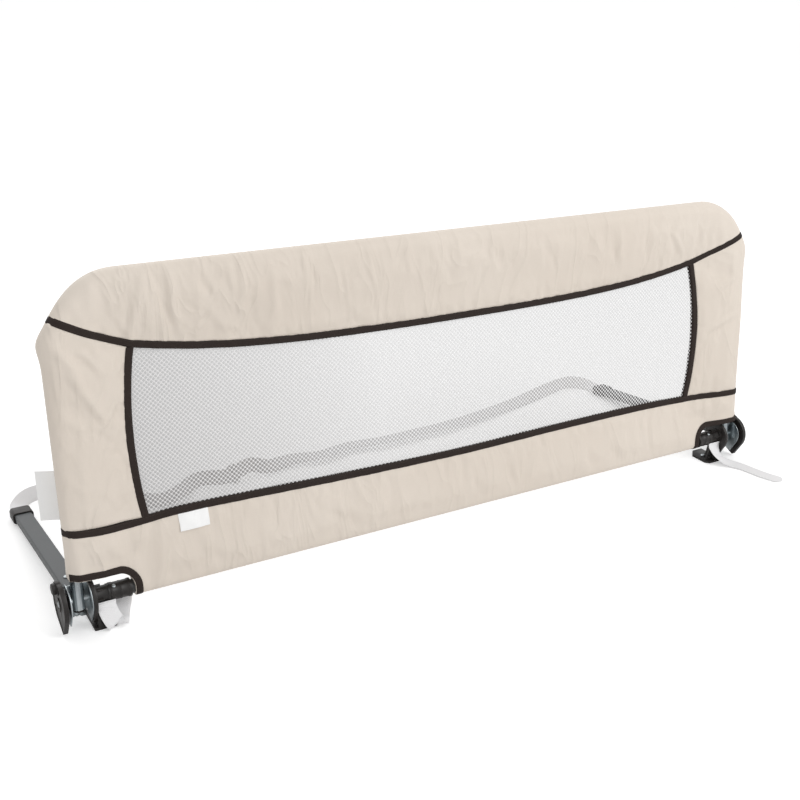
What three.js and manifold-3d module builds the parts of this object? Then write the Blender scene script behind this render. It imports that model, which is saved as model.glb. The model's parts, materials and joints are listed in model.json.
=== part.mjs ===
// Folding bed guard rail: a padded fabric panel on a steel U-frame, hinged to two feet whose
// flat legs lie under a mattress. Millimetres, +Z up. The rail is built upright and then leant
// back, so that the feet and the ends of the legs stand on one floor.
import * as THREE from "three";
import { mergeVertices } from "three/addons/utils/BufferGeometryUtils.js";
import Module from "manifold-3d";

const wasm = await Module();
wasm.setup();

// Panel outline, seen from the front, with the bottom edge of the fabric at height zero
const panelLength = 1200;
const panelHeight = 435;
const cornerRadius = 110;
const bottomHalfDepth = 12.4; // half the fabric's depth where it wraps the cross tube
const paddedHalfDepth = 15.5; // half the fabric's depth where it wraps the frame
const seamHalfDepth = 2.4; // half the fabric's depth along the window
const clearance = 0.3; // gap between pieces that touch
const overrun = 4; // how far a cutting shape runs past what it cuts

// Binding tape and the window that it frames
const tapeWidth = 10;
const tapeStandoff = 0.8; // how far the tape stands proud of the fabric
const upperTapeHeight = 307; // middle of the upper tape, at the middle of the panel
const upperTapeSag = 30; // how much higher it is at the window's corners
const upperTapeTurn = 0.7; // share of that climb that comes close to the corners
const upperTapeRise = 47; // and how much more it climbs to the sides of the panel
const lowerTapeHeight = 95;
const lowerTapeSag = 5;
const sidePanelWidth = 106.5; // from the side of the panel to the middle of a side tape
const sideTapeBow = 14; // how much nearer the middle of the panel a side tape has its ends
const windowMiddleHeight = 215;
const windowCornerHeight = 110; // from the window's middle to the ends of the side tapes
const netThickness = 1.2;

// Cut-outs in the bottom corners of the fabric, which leave the hinges free
const cutoutMargin = 5; // past the sleeve, towards the middle of the panel
const cutoutHeight = 33;
const cutoutRadius = 22;

// Steel tubes
const frameTubeDiameter = 19;
const frameTubeWall = 1.2;
const frameTubeDepth = 18.5; // from the edge of the fabric to the middle of the tube
const cornerTubeFoot = 50; // height at which a corner tube ends, above the hinge
const cornerTubeRun = 190; // length of its level run, past the bend
const uprightDiameter = 16;
const uprightWall = 1.5;
const uprightTop = 110;
const uprightPlugThickness = 3;
const uprightPlugLength = 7;
const spigotLength = 120;
const crossTubeDiameter = 19;
const crossTubeWall = 1.5;

// Fold axis and hinge, from the outside of the rail inwards
const axisHeight = 12;
const plateThickness = 1.5;
const coverThickness = 7;
const innerCoverThickness = 5;
const socketDiameter = 22;
const socketLength = 20.5;
const sleeveDiameter = 24.4;
const sleeveLength = 28;
const hingeFrontRadius = 25; // inner parts, in front of and above the fold axis
const hingeBack = 20; // back edge of the hinge parts
const hingeDrop = 35; // their lowest point, below the fold axis
const coverFrontRadius = 30; // outer cover
const coverBack = 21;
const coverDrop = 40;
const webSetback = 18.5; // from the fold axis to the bracket's web
const boltDiameter = 6;
const boltHeadDiameter = 9.4;
const boltHeadThickness = 2.6;
const rivetHeadDiameter = 5;
const rivetHeadHeight = 1.6;
const bracketRivetDiameter = 7;
const nutAcross = 11;
const nutThickness = 4.5;
const holeClearance = 0.3;

// Release button and its spring
const buttonHeight = 34;
const buttonSetback = 2;
const buttonDiameter = 15;
const buttonProud = 5.5;
const buttonTravel = 4;
const buttonWall = 2;
const springWire = 1;
const springDiameter = 9;
const springTurns = 3;

// Foot under each hinge
const footLength = 49;
const footWidth = 34;
const footThickness = 4;
const footSetback = 13; // from the fold axis to the middle of the foot
const footDepth = 30; // underside of the foot, below the bottom edge of the fabric
const footRibWidth = 7;
const footRibDepth = 15;
const footScrewDiameter = 8.5;
const footScrewHeadHeight = 2.1;

// Legs
const legWidth = 25;
const legHeight = 13;
const legWall = 1.5;
const legCentreHeight = 17;
const legEnd = 338; // from the fold axis to the end of the tube
const legCapLength = 27;
const legCapWall = 3;
const legCapLip = 2.5; // its wall above and below the tube
const legCapWidth = legWidth + 2 * legCapWall;
const legCapHeight = legHeight + 2 * legCapLip;
const tongueLength = 62;
const tongueWidth = 19;
const tongueThickness = 7;
const legBoltDiameter = 5;
const legBoltHeadDiameter = 8.5;

// Webbing
const webbingWidth = 25;
const webbingThickness = 1.4;
const slideLength = 12;
const slideWall = 2.5;
const wrapSlack = 0.85; // from the sleeve to webbing that wraps it

// Labels, both bare
const frontLabelWidth = 42;
const frontLabelHeight = 22;
const labelThickness = 0.5;
const backLabelLength = 47;
const backLabelHeight = 67;
const backLabelFoot = 115;
const backLabelInset = 34; // from the side of the panel to its seam
const backLabelTurn = 30; // degrees that it stands off the back of the panel

// Places that follow from the sizes above
const halfLength = panelLength / 2;
const buttonReach = Math.hypot(buttonSetback, buttonHeight - axisHeight) + buttonDiameter / 2;
const archRadius = buttonReach + 3 * clearance; // of the hem's arch over the hinge and the button
const sideTapeReach = halfLength - sidePanelWidth; // middle of a side tape, at its widest
const hingeCentre = halfLength - frameTubeDepth;
const plateInner = hingeCentre - legWidth / 2 - clearance; // faces of the two side plates
const plateOuter = hingeCentre + legWidth / 2 + clearance;
const innerCoverOuter = plateInner - plateThickness - clearance;
const innerCoverInner = innerCoverOuter - innerCoverThickness;
const coverInner = halfLength + clearance;
const coverOuter = coverInner + coverThickness;
const socketInner = innerCoverInner - socketLength;
const sleeveOuter = socketInner - clearance;
const sleeveInner = sleeveOuter - sleeveLength;
const cutoutReach = sleeveInner - cutoutMargin;
const capUnderside = legCentreHeight - legCapHeight / 2;
const capEnd = legEnd + legCapWall;
const leanRun = capEnd - footSetback;
const lean = Math.atan2(capUnderside + footDepth, leanRun);
const floorHeight = (y) => -footDepth + (y - footSetback) * Math.tan(lean);

const fabric = finish(0xd9cdbd, 0.85, 0);
const tape = finish(0x33261f, 0.8, 0);
const net = finish(0xf2f1f1, 0.9, 0);
const blackPlastic = finish(0x221d1b, 0.5, 0);
const zinc = finish(0xa9b2b4, 0.35, 0.9);
const greyPaint = finish(0x53585b, 0.5, 0.3);
const blackPaint = finish(0x1d1a19, 0.4, 0.3);
const webbing = finish(0xece9ec, 0.9, 0);
const label = finish(0xf4f4f2, 0.7, 0);

function finish(color, roughness, metalness) {
  return new THREE.MeshStandardMaterial({ color, roughness, metalness });
}

// A closed three.js geometry as a solid, and a solid as a geometry
function solid(geometry) {
  const bare = (geometry.index ? geometry.toNonIndexed() : geometry).clone();
  bare.deleteAttribute("normal");
  bare.deleteAttribute("uv");
  const merged = mergeVertices(bare, 1e-4);
  return new wasm.Manifold(
    new wasm.Mesh({
      numProp: 3,
      vertProperties: new Float32Array(merged.attributes.position.array),
      triVerts: new Uint32Array(merged.index.array),
    }),
  );
}

function geometryOf(body) {
  const mesh = body.getMesh();
  const geometry = new THREE.BufferGeometry();
  geometry.setAttribute("position", new THREE.BufferAttribute(mesh.vertProperties, mesh.numProp));
  geometry.setIndex(new THREE.BufferAttribute(mesh.triVerts, 1));
  return geometry;
}

function add(group, name, shape, material) {
  const geometry = shape.isBufferGeometry ? shape : geometryOf(shape);
  const mesh = new THREE.Mesh(geometry, material);
  mesh.name = name;
  group.add(mesh);
  return mesh;
}

// Shapes along the X axis: side 1 is the right end of the rail, side -1 the left end
function rodX(from, to, diameter, y, z, sides) {
  const geometry = new THREE.CylinderGeometry(diameter / 2, diameter / 2, Math.abs(to - from), sides);
  geometry.rotateZ(Math.PI / 2);
  geometry.translate((from + to) / 2, y, z);
  return solid(geometry);
}

function block(x0, x1, y0, y1, z0, z1) {
  const geometry = new THREE.BoxGeometry(Math.abs(x1 - x0), y1 - y0, z1 - z0);
  geometry.translate((x0 + x1) / 2, (y0 + y1) / 2, (z0 + z1) / 2);
  return solid(geometry);
}

// A front-view outline, in X and Z, given depth along Y
function frontPlate(points, y0, y1) {
  const shape = new THREE.Shape(points.map(([x, z]) => new THREE.Vector2(x, z)));
  const geometry = new THREE.ExtrudeGeometry(shape, { depth: y1 - y0, bevelEnabled: false });
  geometry.rotateX(Math.PI / 2);
  geometry.translate(0, y1, 0);
  return solid(geometry);
}

// A side-view outline, in Y and Z, given width along X
function sidePlate(shape, x0, x1, curveSegments) {
  const depth = Math.abs(x1 - x0);
  const geometry = new THREE.ExtrudeGeometry(shape, { depth, bevelEnabled: false, curveSegments });
  geometry.rotateX(Math.PI / 2);
  geometry.rotateZ(Math.PI / 2);
  geometry.translate(Math.min(x0, x1), 0, 0);
  return solid(geometry);
}

// A closed skin over rings of points, each ring with the same count
function loft(rings) {
  const count = rings[0].length;
  const position = rings.flat().flatMap((p) => [p.x, p.y, p.z]);
  const index = [];
  for (let r = 0; r + 1 < rings.length; r += 1) {
    for (let i = 0; i < count; i += 1) {
      const a = r * count + i;
      const b = r * count + ((i + 1) % count);
      index.push(a, b, b + count, a, b + count, a + count);
    }
  }
  const last = (rings.length - 1) * count;
  for (let i = 1; i + 1 < count; i += 1) {
    index.push(0, i + 1, i, last, last + i, last + i + 1);
  }
  const geometry = new THREE.BufferGeometry();
  geometry.setAttribute("position", new THREE.Float32BufferAttribute(position, 3));
  geometry.setIndex(index);
  const body = solid(geometry);
  return body.volume() < 0 ? solid(geometry.setIndex(index.reverse())) : body;
}

// A round bar along a path in the plane of the panel
function barAlong(path, diameter, sides) {
  const rings = path.map((point, i) => {
    const before = path[Math.max(i - 1, 0)];
    const after = path[Math.min(i + 1, path.length - 1)];
    const along = after.clone().sub(before).normalize();
    const across = new THREE.Vector3(0, 1, 0);
    const up = across.clone().cross(along);
    return Array.from({ length: sides }, (_, k) => {
      const turn = (2 * Math.PI * k) / sides;
      return point
        .clone()
        .addScaledVector(up, (Math.cos(turn) * diameter) / 2)
        .addScaledVector(across, (-Math.sin(turn) * diameter) / 2);
    });
  });
  return loft(rings);
}

function pipeAlong(path, diameter, wall, sides) {
  const first = path[0].clone().sub(path[1]).setLength(overrun).add(path[0]);
  const n = path.length;
  const final = path[n - 1].clone().sub(path[n - 2]).setLength(overrun).add(path[n - 1]);
  const bore = barAlong([first, ...path, final], diameter - 2 * wall, sides);
  return barAlong(path, diameter, sides).subtract(bore);
}

// Middle lines of the tapes
function upperTape(x) {
  const corner = sideTapeReach - sideTapeBow;
  const inside = Math.min(Math.abs(x) / corner, 1);
  const outside = Math.max(Math.abs(x) - corner, 0) / (halfLength - corner);
  const climb = (1 - upperTapeTurn) * inside ** 2 + upperTapeTurn * inside ** 4;
  return upperTapeHeight + upperTapeSag * climb + upperTapeRise * outside ** 1.1;
}

function lowerTape(x) {
  return lowerTapeHeight + lowerTapeSag * (x / halfLength) ** 2;
}

function sideTape(z) {
  return sideTapeReach - sideTapeBow * ((z - windowMiddleHeight) / windowCornerHeight) ** 2;
}

function spread(from, to, steps, at) {
  return Array.from({ length: steps + 1 }, (_, i) => at(from + ((to - from) * i) / steps));
}

// Half the depth of the stuffed cover at a point of the front view
function halfDepth(x, z) {
  const inX = Math.abs(x) - (halfLength - cornerRadius);
  const inZ = z - (panelHeight - cornerRadius);
  const edge =
    inX > 0 && inZ > 0
      ? cornerRadius - Math.hypot(inX, inZ)
      : Math.min(halfLength - Math.abs(x), panelHeight - z);
  const frame = teardrop(edge, frameTubeDepth, paddedHalfDepth, tapeBelowTop());
  const bottom = teardrop(z, axisHeight, bottomHalfDepth, lowerTapeHeight);
  return Math.max(Math.min(frame, bottomEase(z, frame)), bottom);
}

function tapeBelowTop() {
  return panelHeight - upperTapeHeight;
}

// Near the bottom edge the sides of the cover close in as the bottom does
function bottomEase(z, frame) {
  return z > cutoutHeight ? frame : (frame * Math.sqrt(Math.max(z, 0))) / Math.sqrt(cutoutHeight);
}

function teardrop(distance, middle, depth, reach) {
  if (distance <= 0) return 0;
  if (distance < middle) {
    return depth * Math.sqrt(1 - ((middle - distance) / middle) ** 2);
  }
  const share = Math.min((distance - middle) / (reach - middle - tapeWidth), 1);
  const ease = (1 + Math.cos(Math.PI * share)) / 2;
  return seamHalfDepth + (depth - seamHalfDepth) * ease;
}

// Matched points round the outside of the cover and round its window
const tapeMeetsEdge = Math.PI / 6; // turn of the top corner at which the upper tape ends
const sideSteps = 4;
const arcSteps = 2;
const cornerSteps = 4;
const topSteps = 6;
const bottomSteps = 6;

function outlineRight() {
  const arcX = halfLength - cornerRadius;
  const arcZ = panelHeight - cornerRadius;
  const arc = (turn) => [arcX + cornerRadius * Math.cos(turn), arcZ + cornerRadius * Math.sin(turn)];
  return {
    bottom: [
      ...spread(0, halfLength, bottomSteps, (x) => [x, 0]).slice(0, -1),
      ...spread(0, lowerTape(halfLength), arcSteps + 1, (z) => [halfLength, z]).slice(0, -1),
    ],
    side: [
      ...spread(lowerTape(halfLength), arcZ, sideSteps, (z) => [halfLength, z]).slice(0, -1),
      ...spread(0, tapeMeetsEdge, arcSteps, arc).slice(0, -1),
    ],
    top: [
      ...spread(tapeMeetsEdge, Math.PI / 2, cornerSteps, arc).slice(0, -1),
      ...spread(arcX, 0, topSteps, (x) => [x, panelHeight]),
    ],
  };
}

function windowRight() {
  const inset = tapeWidth / 2;
  const cornerX = sideTapeReach - sideTapeBow - inset;
  const lowZ = lowerTape(cornerX) + inset;
  const highZ = upperTape(cornerX) - inset;
  const side = (z) => [sideTape(z) - inset, z];
  const bottomCount = bottomSteps + arcSteps + 1;
  return {
    bottom: spread(0, cornerX, bottomCount, (x) => [x, lowerTape(x) + inset]).slice(0, -1),
    side: spread(lowZ, highZ, sideSteps + arcSteps, side).slice(0, -1),
    top: spread(cornerX, 0, cornerSteps + topSteps, (x) => [x, upperTape(x) - inset]),
  };
}

function wholeLoop({ bottom, side, top }) {
  const right = [...bottom, ...side, ...top];
  const left = right.slice(1, -1).reverse().map(([x, z]) => [-x, z]);
  return [...right, ...left];
}

const ringShares = [0, 0.02, 0.075, 0.18, 0.34, 0.56, 0.8, 1]; // from the edge to the window

// The whole stuffed cover as a frame round its window, with standoff added to its depth
function coverBody(standoff) {
  const outer = wholeLoop(outlineRight());
  const inner = wholeLoop(windowRight());
  const count = outer.length;
  const at = (i, share) => {
    const [x0, z0] = outer[i];
    const [x1, z1] = inner[i];
    const x = x0 + (x1 - x0) * share;
    const z = z0 + (z1 - z0) * share;
    return { x, z, depth: share === 0 ? 0 : halfDepth(x, z) + standoff };
  };
  const position = [];
  for (const face of [-1, 1]) {
    for (const share of ringShares) {
      for (let i = 0; i < count; i += 1) {
        const p = at(i, share);
        position.push(p.x, face * p.depth, p.z);
      }
    }
  }
  const rings = ringShares.length;
  const index = [];
  for (const layer of [0, 1]) {
    for (let r = 0; r + 1 < rings; r += 1) {
      for (let i = 0; i < count; i += 1) {
        const a = (layer * rings + r) * count + i;
        const b = (layer * rings + r) * count + ((i + 1) % count);
        const quad = [a, b, b + count, a, b + count, a + count];
        index.push(...(layer ? quad.reverse() : quad));
      }
    }
  }
  for (let i = 0; i < count; i += 1) {
    const a = (rings - 1) * count + i;
    const b = (rings - 1) * count + ((i + 1) % count);
    const shift = rings * count;
    index.push(a, b, b + shift, a, b + shift, a + shift);
  }
  const geometry = new THREE.BufferGeometry();
  geometry.setAttribute("position", new THREE.Float32BufferAttribute(position, 3));
  geometry.setIndex(index);
  return solid(geometry);
}

// Strips of the front view, as cutting shapes right through the cover. Their places along the
// panel are shares of its half length, close together where the tapes bend
const levelShares = [-1, -0.92, -0.85, -0.8, -0.6, -0.3, 0, 0.3, 0.6, 0.8, 0.85, 0.92, 1];
const throughDepth = paddedHalfDepth + tapeStandoff + overrun;

function levelStrip(line, width) {
  const reach = halfLength + overrun;
  const over = levelShares.map((share) => [share * reach, line(share * reach) + width / 2]);
  const under = over.map(([x, z]) => [x, z - width]).reverse();
  return frontPlate([...under, ...over], -throughDepth, throughDepth);
}

function standingStrip(side, width) {
  const steps = 6;
  const low = lowerTape(sideTapeReach);
  const high = upperTape(sideTapeReach);
  const out = spread(low, high, steps, (z) => [side * (sideTape(z) + width / 2), z]);
  const back = spread(high, low, steps, (z) => [side * (sideTape(z) - width / 2), z]);
  const points = [...out, ...back];
  return frontPlate(side > 0 ? points : points.reverse(), -throughDepth, throughDepth);
}

function cutoutShape(side, grow) {
  const reach = halfLength + overrun;
  const low = -overrun;
  const top = cutoutHeight + grow;
  const radius = cutoutRadius + grow;
  const x0 = cutoutReach - grow;
  const arc = spread(Math.PI, Math.PI / 2, 4, (turn) => [
    x0 + radius + radius * Math.cos(turn),
    top - radius + radius * Math.sin(turn),
  ]);
  const points = [[reach, low], [x0, low], ...arc, [reach, top]].map(([x, z]) => [side * x, z]);
  return frontPlate(side < 0 ? points : points.reverse(), -throughDepth, throughDepth);
}

// The room that the hinge and the tubes need inside the cover
function hingeRoom(side) {
  const from = side * (cutoutReach + cutoutRadius);
  const arch = rodX(from, side * (halfLength + overrun), 2 * archRadius, 0, axisHeight, 28);
  return cutoutShape(side, 0).add(arch);
}

function framePath(extra) {
  const x = hingeCentre;
  const z = panelHeight - frameTubeDepth;
  const bend = cornerRadius - frameTubeDepth;
  const arc = spread(0, Math.PI / 2, 7, (turn) => [
    x - bend + bend * Math.cos(turn),
    z - bend + bend * Math.sin(turn),
  ]);
  const right = [[x, cornerTubeFoot - extra], ...arc];
  const left = right.map(([px, pz]) => [-px, pz]).reverse();
  return [...right, ...left].map(([px, pz]) => new THREE.Vector3(px, 0, pz));
}

function tubeRoom() {
  const sides = 12;
  const room = (diameter) => (diameter + 2 * clearance) / Math.cos(Math.PI / sides);
  const frame = barAlong(framePath(cornerTubeFoot - axisHeight), room(frameTubeDiameter), sides);
  const cross = rodX(-halfLength, halfLength, room(crossTubeDiameter), 0, axisHeight, sides);
  return frame.add(cross);
}

function addCover(group) {
  const room = tubeRoom().add(hingeRoom(1)).add(hingeRoom(-1));
  const cover = coverBody(0).subtract(room);
  const proud = coverBody(tapeStandoff).subtract(room);
  const gap = tapeWidth + 2 * clearance;
  const upperGap = levelStrip(upperTape, gap);
  const lowerGap = levelStrip(lowerTape, gap);
  const sideGaps = standingStrip(1, gap).add(standingStrip(-1, gap));
  const hemGap = cutoutShape(1, tapeWidth + clearance).add(cutoutShape(-1, tapeWidth + clearance));
  const sections = cover
    .subtract(upperGap)
    .subtract(lowerGap)
    .subtract(sideGaps)
    .subtract(hemGap)
    .decompose()
    .filter((body) => body.volume() > tapeWidth ** 3);
  for (const body of sections) add(group, sectionName(body), body, fabric);

  const upper = proud.intersect(levelStrip(upperTape, tapeWidth));
  const lower = proud.intersect(levelStrip(lowerTape, tapeWidth));
  add(group, "binding_upper", largest(upper), tape);
  add(group, "binding_lower", largest(lower), tape);
  for (const side of [-1, 1]) {
    const strip = standingStrip(side, tapeWidth).subtract(upperGap).subtract(lowerGap);
    add(group, "binding_side_" + sideName(side), largest(proud.intersect(strip)), tape);
    const hem = proud.intersect(cutoutShape(side, tapeWidth));
    add(group, "binding_cutout_" + sideName(side), largest(hem), tape);
  }
  add(group, "mesh_window", windowNet(), net);
}

function largest(body) {
  return body.decompose().sort((a, b) => b.volume() - a.volume())[0];
}

function sideName(side) {
  return side < 0 ? "left" : "right";
}

function sectionName(body) {
  const box = body.boundingBox();
  if (box.max[0] < 0) return "cover_left";
  if (box.min[0] > 0) return "cover_right";
  return box.min[2] > windowMiddleHeight ? "cover_top" : "cover_bottom";
}

function windowNet() {
  const outline = wholeLoop(windowRight()).map(([x, z]) => {
    const inward = Math.abs(x) > sideTapeReach - sideTapeBow - tapeWidth ? clearance : 0;
    return [x - Math.sign(x) * inward, z + (z < windowMiddleHeight ? clearance : -clearance)];
  });
  return frontPlate(outline, -netThickness / 2, netThickness / 2);
}

function addLabels(group) {
  const x = -(sideTapeReach - sideTapeBow) + 0.92 * frontLabelWidth;
  const top = lowerTape(x + frontLabelWidth) - tapeWidth / 2 - 2 * clearance;
  const column = block(
    x, x + frontLabelWidth, -throughDepth, -clearance, top - frontLabelHeight, top,
  );
  const skin = coverBody(clearance + labelThickness).subtract(coverBody(clearance));
  add(group, "front_label", largest(skin.intersect(column)), label);

  const seam = -(halfLength - backLabelInset);
  const back = halfDepth(seam, backLabelFoot) + clearance;
  const flap = block(
    -backLabelLength, 0, 0, labelThickness, backLabelFoot, backLabelFoot + backLabelHeight,
  );
  const turned = flap.rotate([0, 0, -backLabelTurn]).translate([seam, back, 0]);
  add(group, "back_label", turned, label);
}

function addFrame(group) {
  const bore = frameTubeDiameter - 2 * frameTubeWall;
  const path = framePath(0);
  const runEnd = hingeCentre - (cornerRadius - frameTubeDepth) - cornerTubeRun;
  const height = panelHeight - frameTubeDepth;
  const rightPath = [...path.slice(0, path.length / 2), new THREE.Vector3(runEnd, 0, height)];
  for (const side of [-1, 1]) {
    const own = rightPath.map((p) => new THREE.Vector3(side * p.x, 0, p.z));
    const along = side > 0 ? own : own.reverse();
    const tube = pipeAlong(along, frameTubeDiameter, frameTubeWall, 12);
    add(group, "corner_tube_" + sideName(side), tube, blackPaint);
    const spigot = rodX(
      side * (runEnd - spigotLength / 2), side * (runEnd + spigotLength / 2),
      bore - 2 * clearance, 0, height, 12,
    );
    add(group, "tube_spigot_" + sideName(side), spigot, zinc);
    addUprightEnd(group, side, bore);
  }
  const reach = runEnd - clearance;
  const ends = [new THREE.Vector3(-reach, 0, height), new THREE.Vector3(reach, 0, height)];
  add(group, "top_tube", pipeAlong(ends, frameTubeDiameter, frameTubeWall, 12), blackPaint);
}

// The plated lower end of an upright, which turns on the pivot bolt
function addUprightEnd(group, side, bore) {
  const x = side * hingeCentre;
  const diameter = Math.min(uprightDiameter, bore - 2 * clearance);
  const foot = new THREE.Vector3(x, 0, 0);
  const tube = pipeAlong([foot, new THREE.Vector3(x, 0, uprightTop)], diameter, uprightWall, 16);
  const hole = rodX(
    x - diameter, x + diameter, boltDiameter + 2 * holeClearance, 0, axisHeight, 12,
  );
  add(group, "upright_end_" + sideName(side), tube.subtract(hole), zinc);
  const inner = diameter - 2 * uprightWall - 2 * clearance;
  const room = axisHeight - boltDiameter / 2 - 2 * clearance;
  const plug = plugProfile(diameter / 2, inner / 2, Math.min(uprightPlugLength, room));
  plug.translate(x, 0, 0);
  add(group, "upright_plug_" + sideName(side), solid(plug), blackPlastic);
}

function plugProfile(flange, stem, length) {
  const profile = [
    [0, -uprightPlugThickness],
    [flange - clearance, -uprightPlugThickness],
    [flange, -uprightPlugThickness / 2],
    [flange, -clearance],
    [stem, -clearance],
    [stem, length],
    [0, length],
  ];
  return lathe(profile, 12);
}

function lathe(profile, sides) {
  const geometry = new THREE.LatheGeometry(profile.map(([r, h]) => new THREE.Vector2(r, h)), sides);
  geometry.rotateX(Math.PI / 2);
  return geometry;
}

// The same turned shape lying along X, its profile's heights running outwards
function latheX(profile, sides, side, y, z) {
  const geometry = lathe(profile, sides);
  geometry.rotateY((side * Math.PI) / 2);
  geometry.translate(0, y, z);
  return solid(geometry);
}

// Cross tube along the fold axis, with a sleeve and a rivet at each end
function addCrossTube(group) {
  const end = innerCoverInner - clearance;
  const ends = [new THREE.Vector3(-end, 0, axisHeight), new THREE.Vector3(end, 0, axisHeight)];
  const tube = pipeAlong(ends, crossTubeDiameter, crossTubeWall, 16);
  add(group, "cross_tube", tube, blackPaint);
  for (const side of [-1, 1]) {
    const bore = crossTubeDiameter / 2 + clearance;
    const outside = sleeveDiameter / 2;
    const edge = outside - bore > 2 * tapeStandoff ? tapeStandoff : 0;
    const profile = [
      [bore, sleeveInner],
      [outside - edge, sleeveInner],
      [outside, sleeveInner + edge],
      [outside, sleeveOuter - edge],
      [outside - edge, sleeveOuter],
      [bore, sleeveOuter],
      [bore, sleeveInner],
    ];
    add(group, "tube_sleeve_" + sideName(side), latheX(profile, 20, side, 0, axisHeight), blackPlastic);
    addSleeveRivet(group, side, outside);
  }
}

const sleeveRivetTurn = Math.PI / 5; // forward of the top of the sleeve

function addSleeveRivet(group, side, radius) {
  const profile = [
    [0, 0],
    [rivetHeadDiameter / 2, 0],
    [rivetHeadDiameter / 2, rivetHeadHeight / 2],
    [rivetHeadDiameter / 4, rivetHeadHeight],
    [0, rivetHeadHeight],
  ];
  const head = lathe(profile, 12);
  head.translate(0, 0, radius + clearance);
  head.rotateX(sleeveRivetTurn);
  head.translate(side * (sleeveOuter - rivetHeadDiameter), 0, axisHeight);
  add(group, "sleeve_rivet_" + sideName(side), solid(head), zinc);
}

// Side view of the hinge parts: round in front, with a tip below and a straight back
const hingeArcStartShare = 0.3; // behind the axis, of the distance to the back
const hingeArcEnd = (220 * Math.PI) / 180;
const hingeTipShares = [[-0.34, 0.95], [-0.16, 1], [0.1, 0.94]]; // of the radius and the drop
const hingeBackFootShare = 0.62; // of the drop
const hingeBackHeadShare = 0.6; // of the radius

function hingeOutline(radius, back, drop) {
  const shape = new THREE.Shape();
  const start = Math.acos((hingeArcStartShare * back) / radius);
  shape.absarc(0, axisHeight, radius, start, hingeArcEnd, false);
  for (const [across, down] of hingeTipShares) {
    shape.lineTo(across * radius, axisHeight - down * drop);
  }
  shape.lineTo(back, axisHeight - hingeBackFootShare * drop);
  shape.lineTo(back, axisHeight + hingeBackHeadShare * radius);
  shape.closePath();
  return shape;
}

// Plated bracket: two side plates, a web behind the upright and a tongue inside the leg
const webFootShare = 0.95; // of the hinge's drop
const webHeadShare = 0.55; // of its front radius
const webRivetShare = 0.8; // of its drop

function addBracket(group, side) {
  const plate = hingeOutline(hingeFrontRadius - plateThickness, hingeBack, hingeDrop - 2 * plateThickness);
  const inner = sidePlate(plate, side * plateInner, side * (plateInner - plateThickness), 8);
  const outer = sidePlate(plate, side * plateOuter, side * (plateOuter + plateThickness), 8);
  const web = block(
    side * (plateInner - plateThickness / 2), side * (plateOuter + plateThickness / 2),
    webSetback, webSetback + plateThickness,
    axisHeight - webFootShare * hingeDrop, axisHeight + webHeadShare * hingeFrontRadius,
  );
  const tongue = block(
    side * (hingeCentre - tongueWidth / 2), side * (hingeCentre + tongueWidth / 2),
    webSetback + plateThickness / 2, hingeBack + tongueLength,
    legCentreHeight - tongueThickness / 2, legCentreHeight + tongueThickness / 2,
  );
  const boltHole = rodX(
    side * (plateInner - overrun), side * (plateOuter + overrun),
    boltDiameter + 2 * holeClearance, 0, axisHeight, 16,
  );
  const legHole = rodZ(side * hingeCentre, legBoltPlace(), legBoltDiameter + 2 * holeClearance);
  const bracket = inner.add(outer).add(web).add(tongue).subtract(boltHole).subtract(legHole);
  add(group, "hinge_bracket_" + sideName(side), bracket, zinc);
  addBracketRivet(group, side);
}

function legBoltPlace() {
  return hingeBack + tongueLength / 2;
}

function rodZ(x, y, diameter) {
  const reach = legCapHeight + overrun;
  const geometry = new THREE.CylinderGeometry(diameter / 2, diameter / 2, 2 * reach, 14);
  geometry.rotateX(Math.PI / 2);
  geometry.translate(x, y, legCentreHeight);
  return solid(geometry);
}

function addBracketRivet(group, side) {
  const profile = [
    [0, 0],
    [bracketRivetDiameter / 2, 0],
    [bracketRivetDiameter / 2, rivetHeadHeight / 2],
    [bracketRivetDiameter / 4, rivetHeadHeight],
    [0, rivetHeadHeight],
  ];
  const head = lathe(profile, 12);
  head.rotateX(Math.PI / 2);
  head.translate(side * hingeCentre, webSetback - clearance, axisHeight - webRivetShare * hingeDrop);
  add(group, "bracket_rivet_" + sideName(side), solid(head), zinc);
}

// Moulded outer cover, with a hole for the button and a seat for the bolt's head
function addOuterCover(group, side) {
  const shape = hingeOutline(coverFrontRadius, coverBack, coverDrop);
  const face = sidePlate(shape, side * coverInner, side * coverOuter, 12);
  const boss = rodX(
    side * (plateOuter + plateThickness + clearance), side * (coverInner + clearance),
    2 * boltHeadDiameter, 0, axisHeight, 16,
  );
  const collar = rodX(
    side * coverInner, side * coverOuter, buttonDiameter + 2 * buttonWall,
    buttonSetback, buttonHeight, 16,
  );
  const slack = 2 * clearance;
  const through = [side * (plateOuter + plateThickness - overrun), side * (coverOuter + overrun)];
  const buttonHole = rodX(...through, buttonDiameter + 2 * slack, buttonSetback, buttonHeight, 16);
  const boltHole = rodX(...through, boltDiameter + 2 * holeClearance, 0, axisHeight, 16);
  const seat = side * (coverOuter - boltHeadThickness - 2 * clearance);
  const headRoom = rodX(seat, through[1], boltHeadDiameter + slack, 0, axisHeight, 16);
  const cover = face.add(boss).add(collar).subtract(buttonHole).subtract(boltHole);
  add(group, "outer_cover_" + sideName(side), cover.subtract(headRoom), blackPlastic);
}

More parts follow.
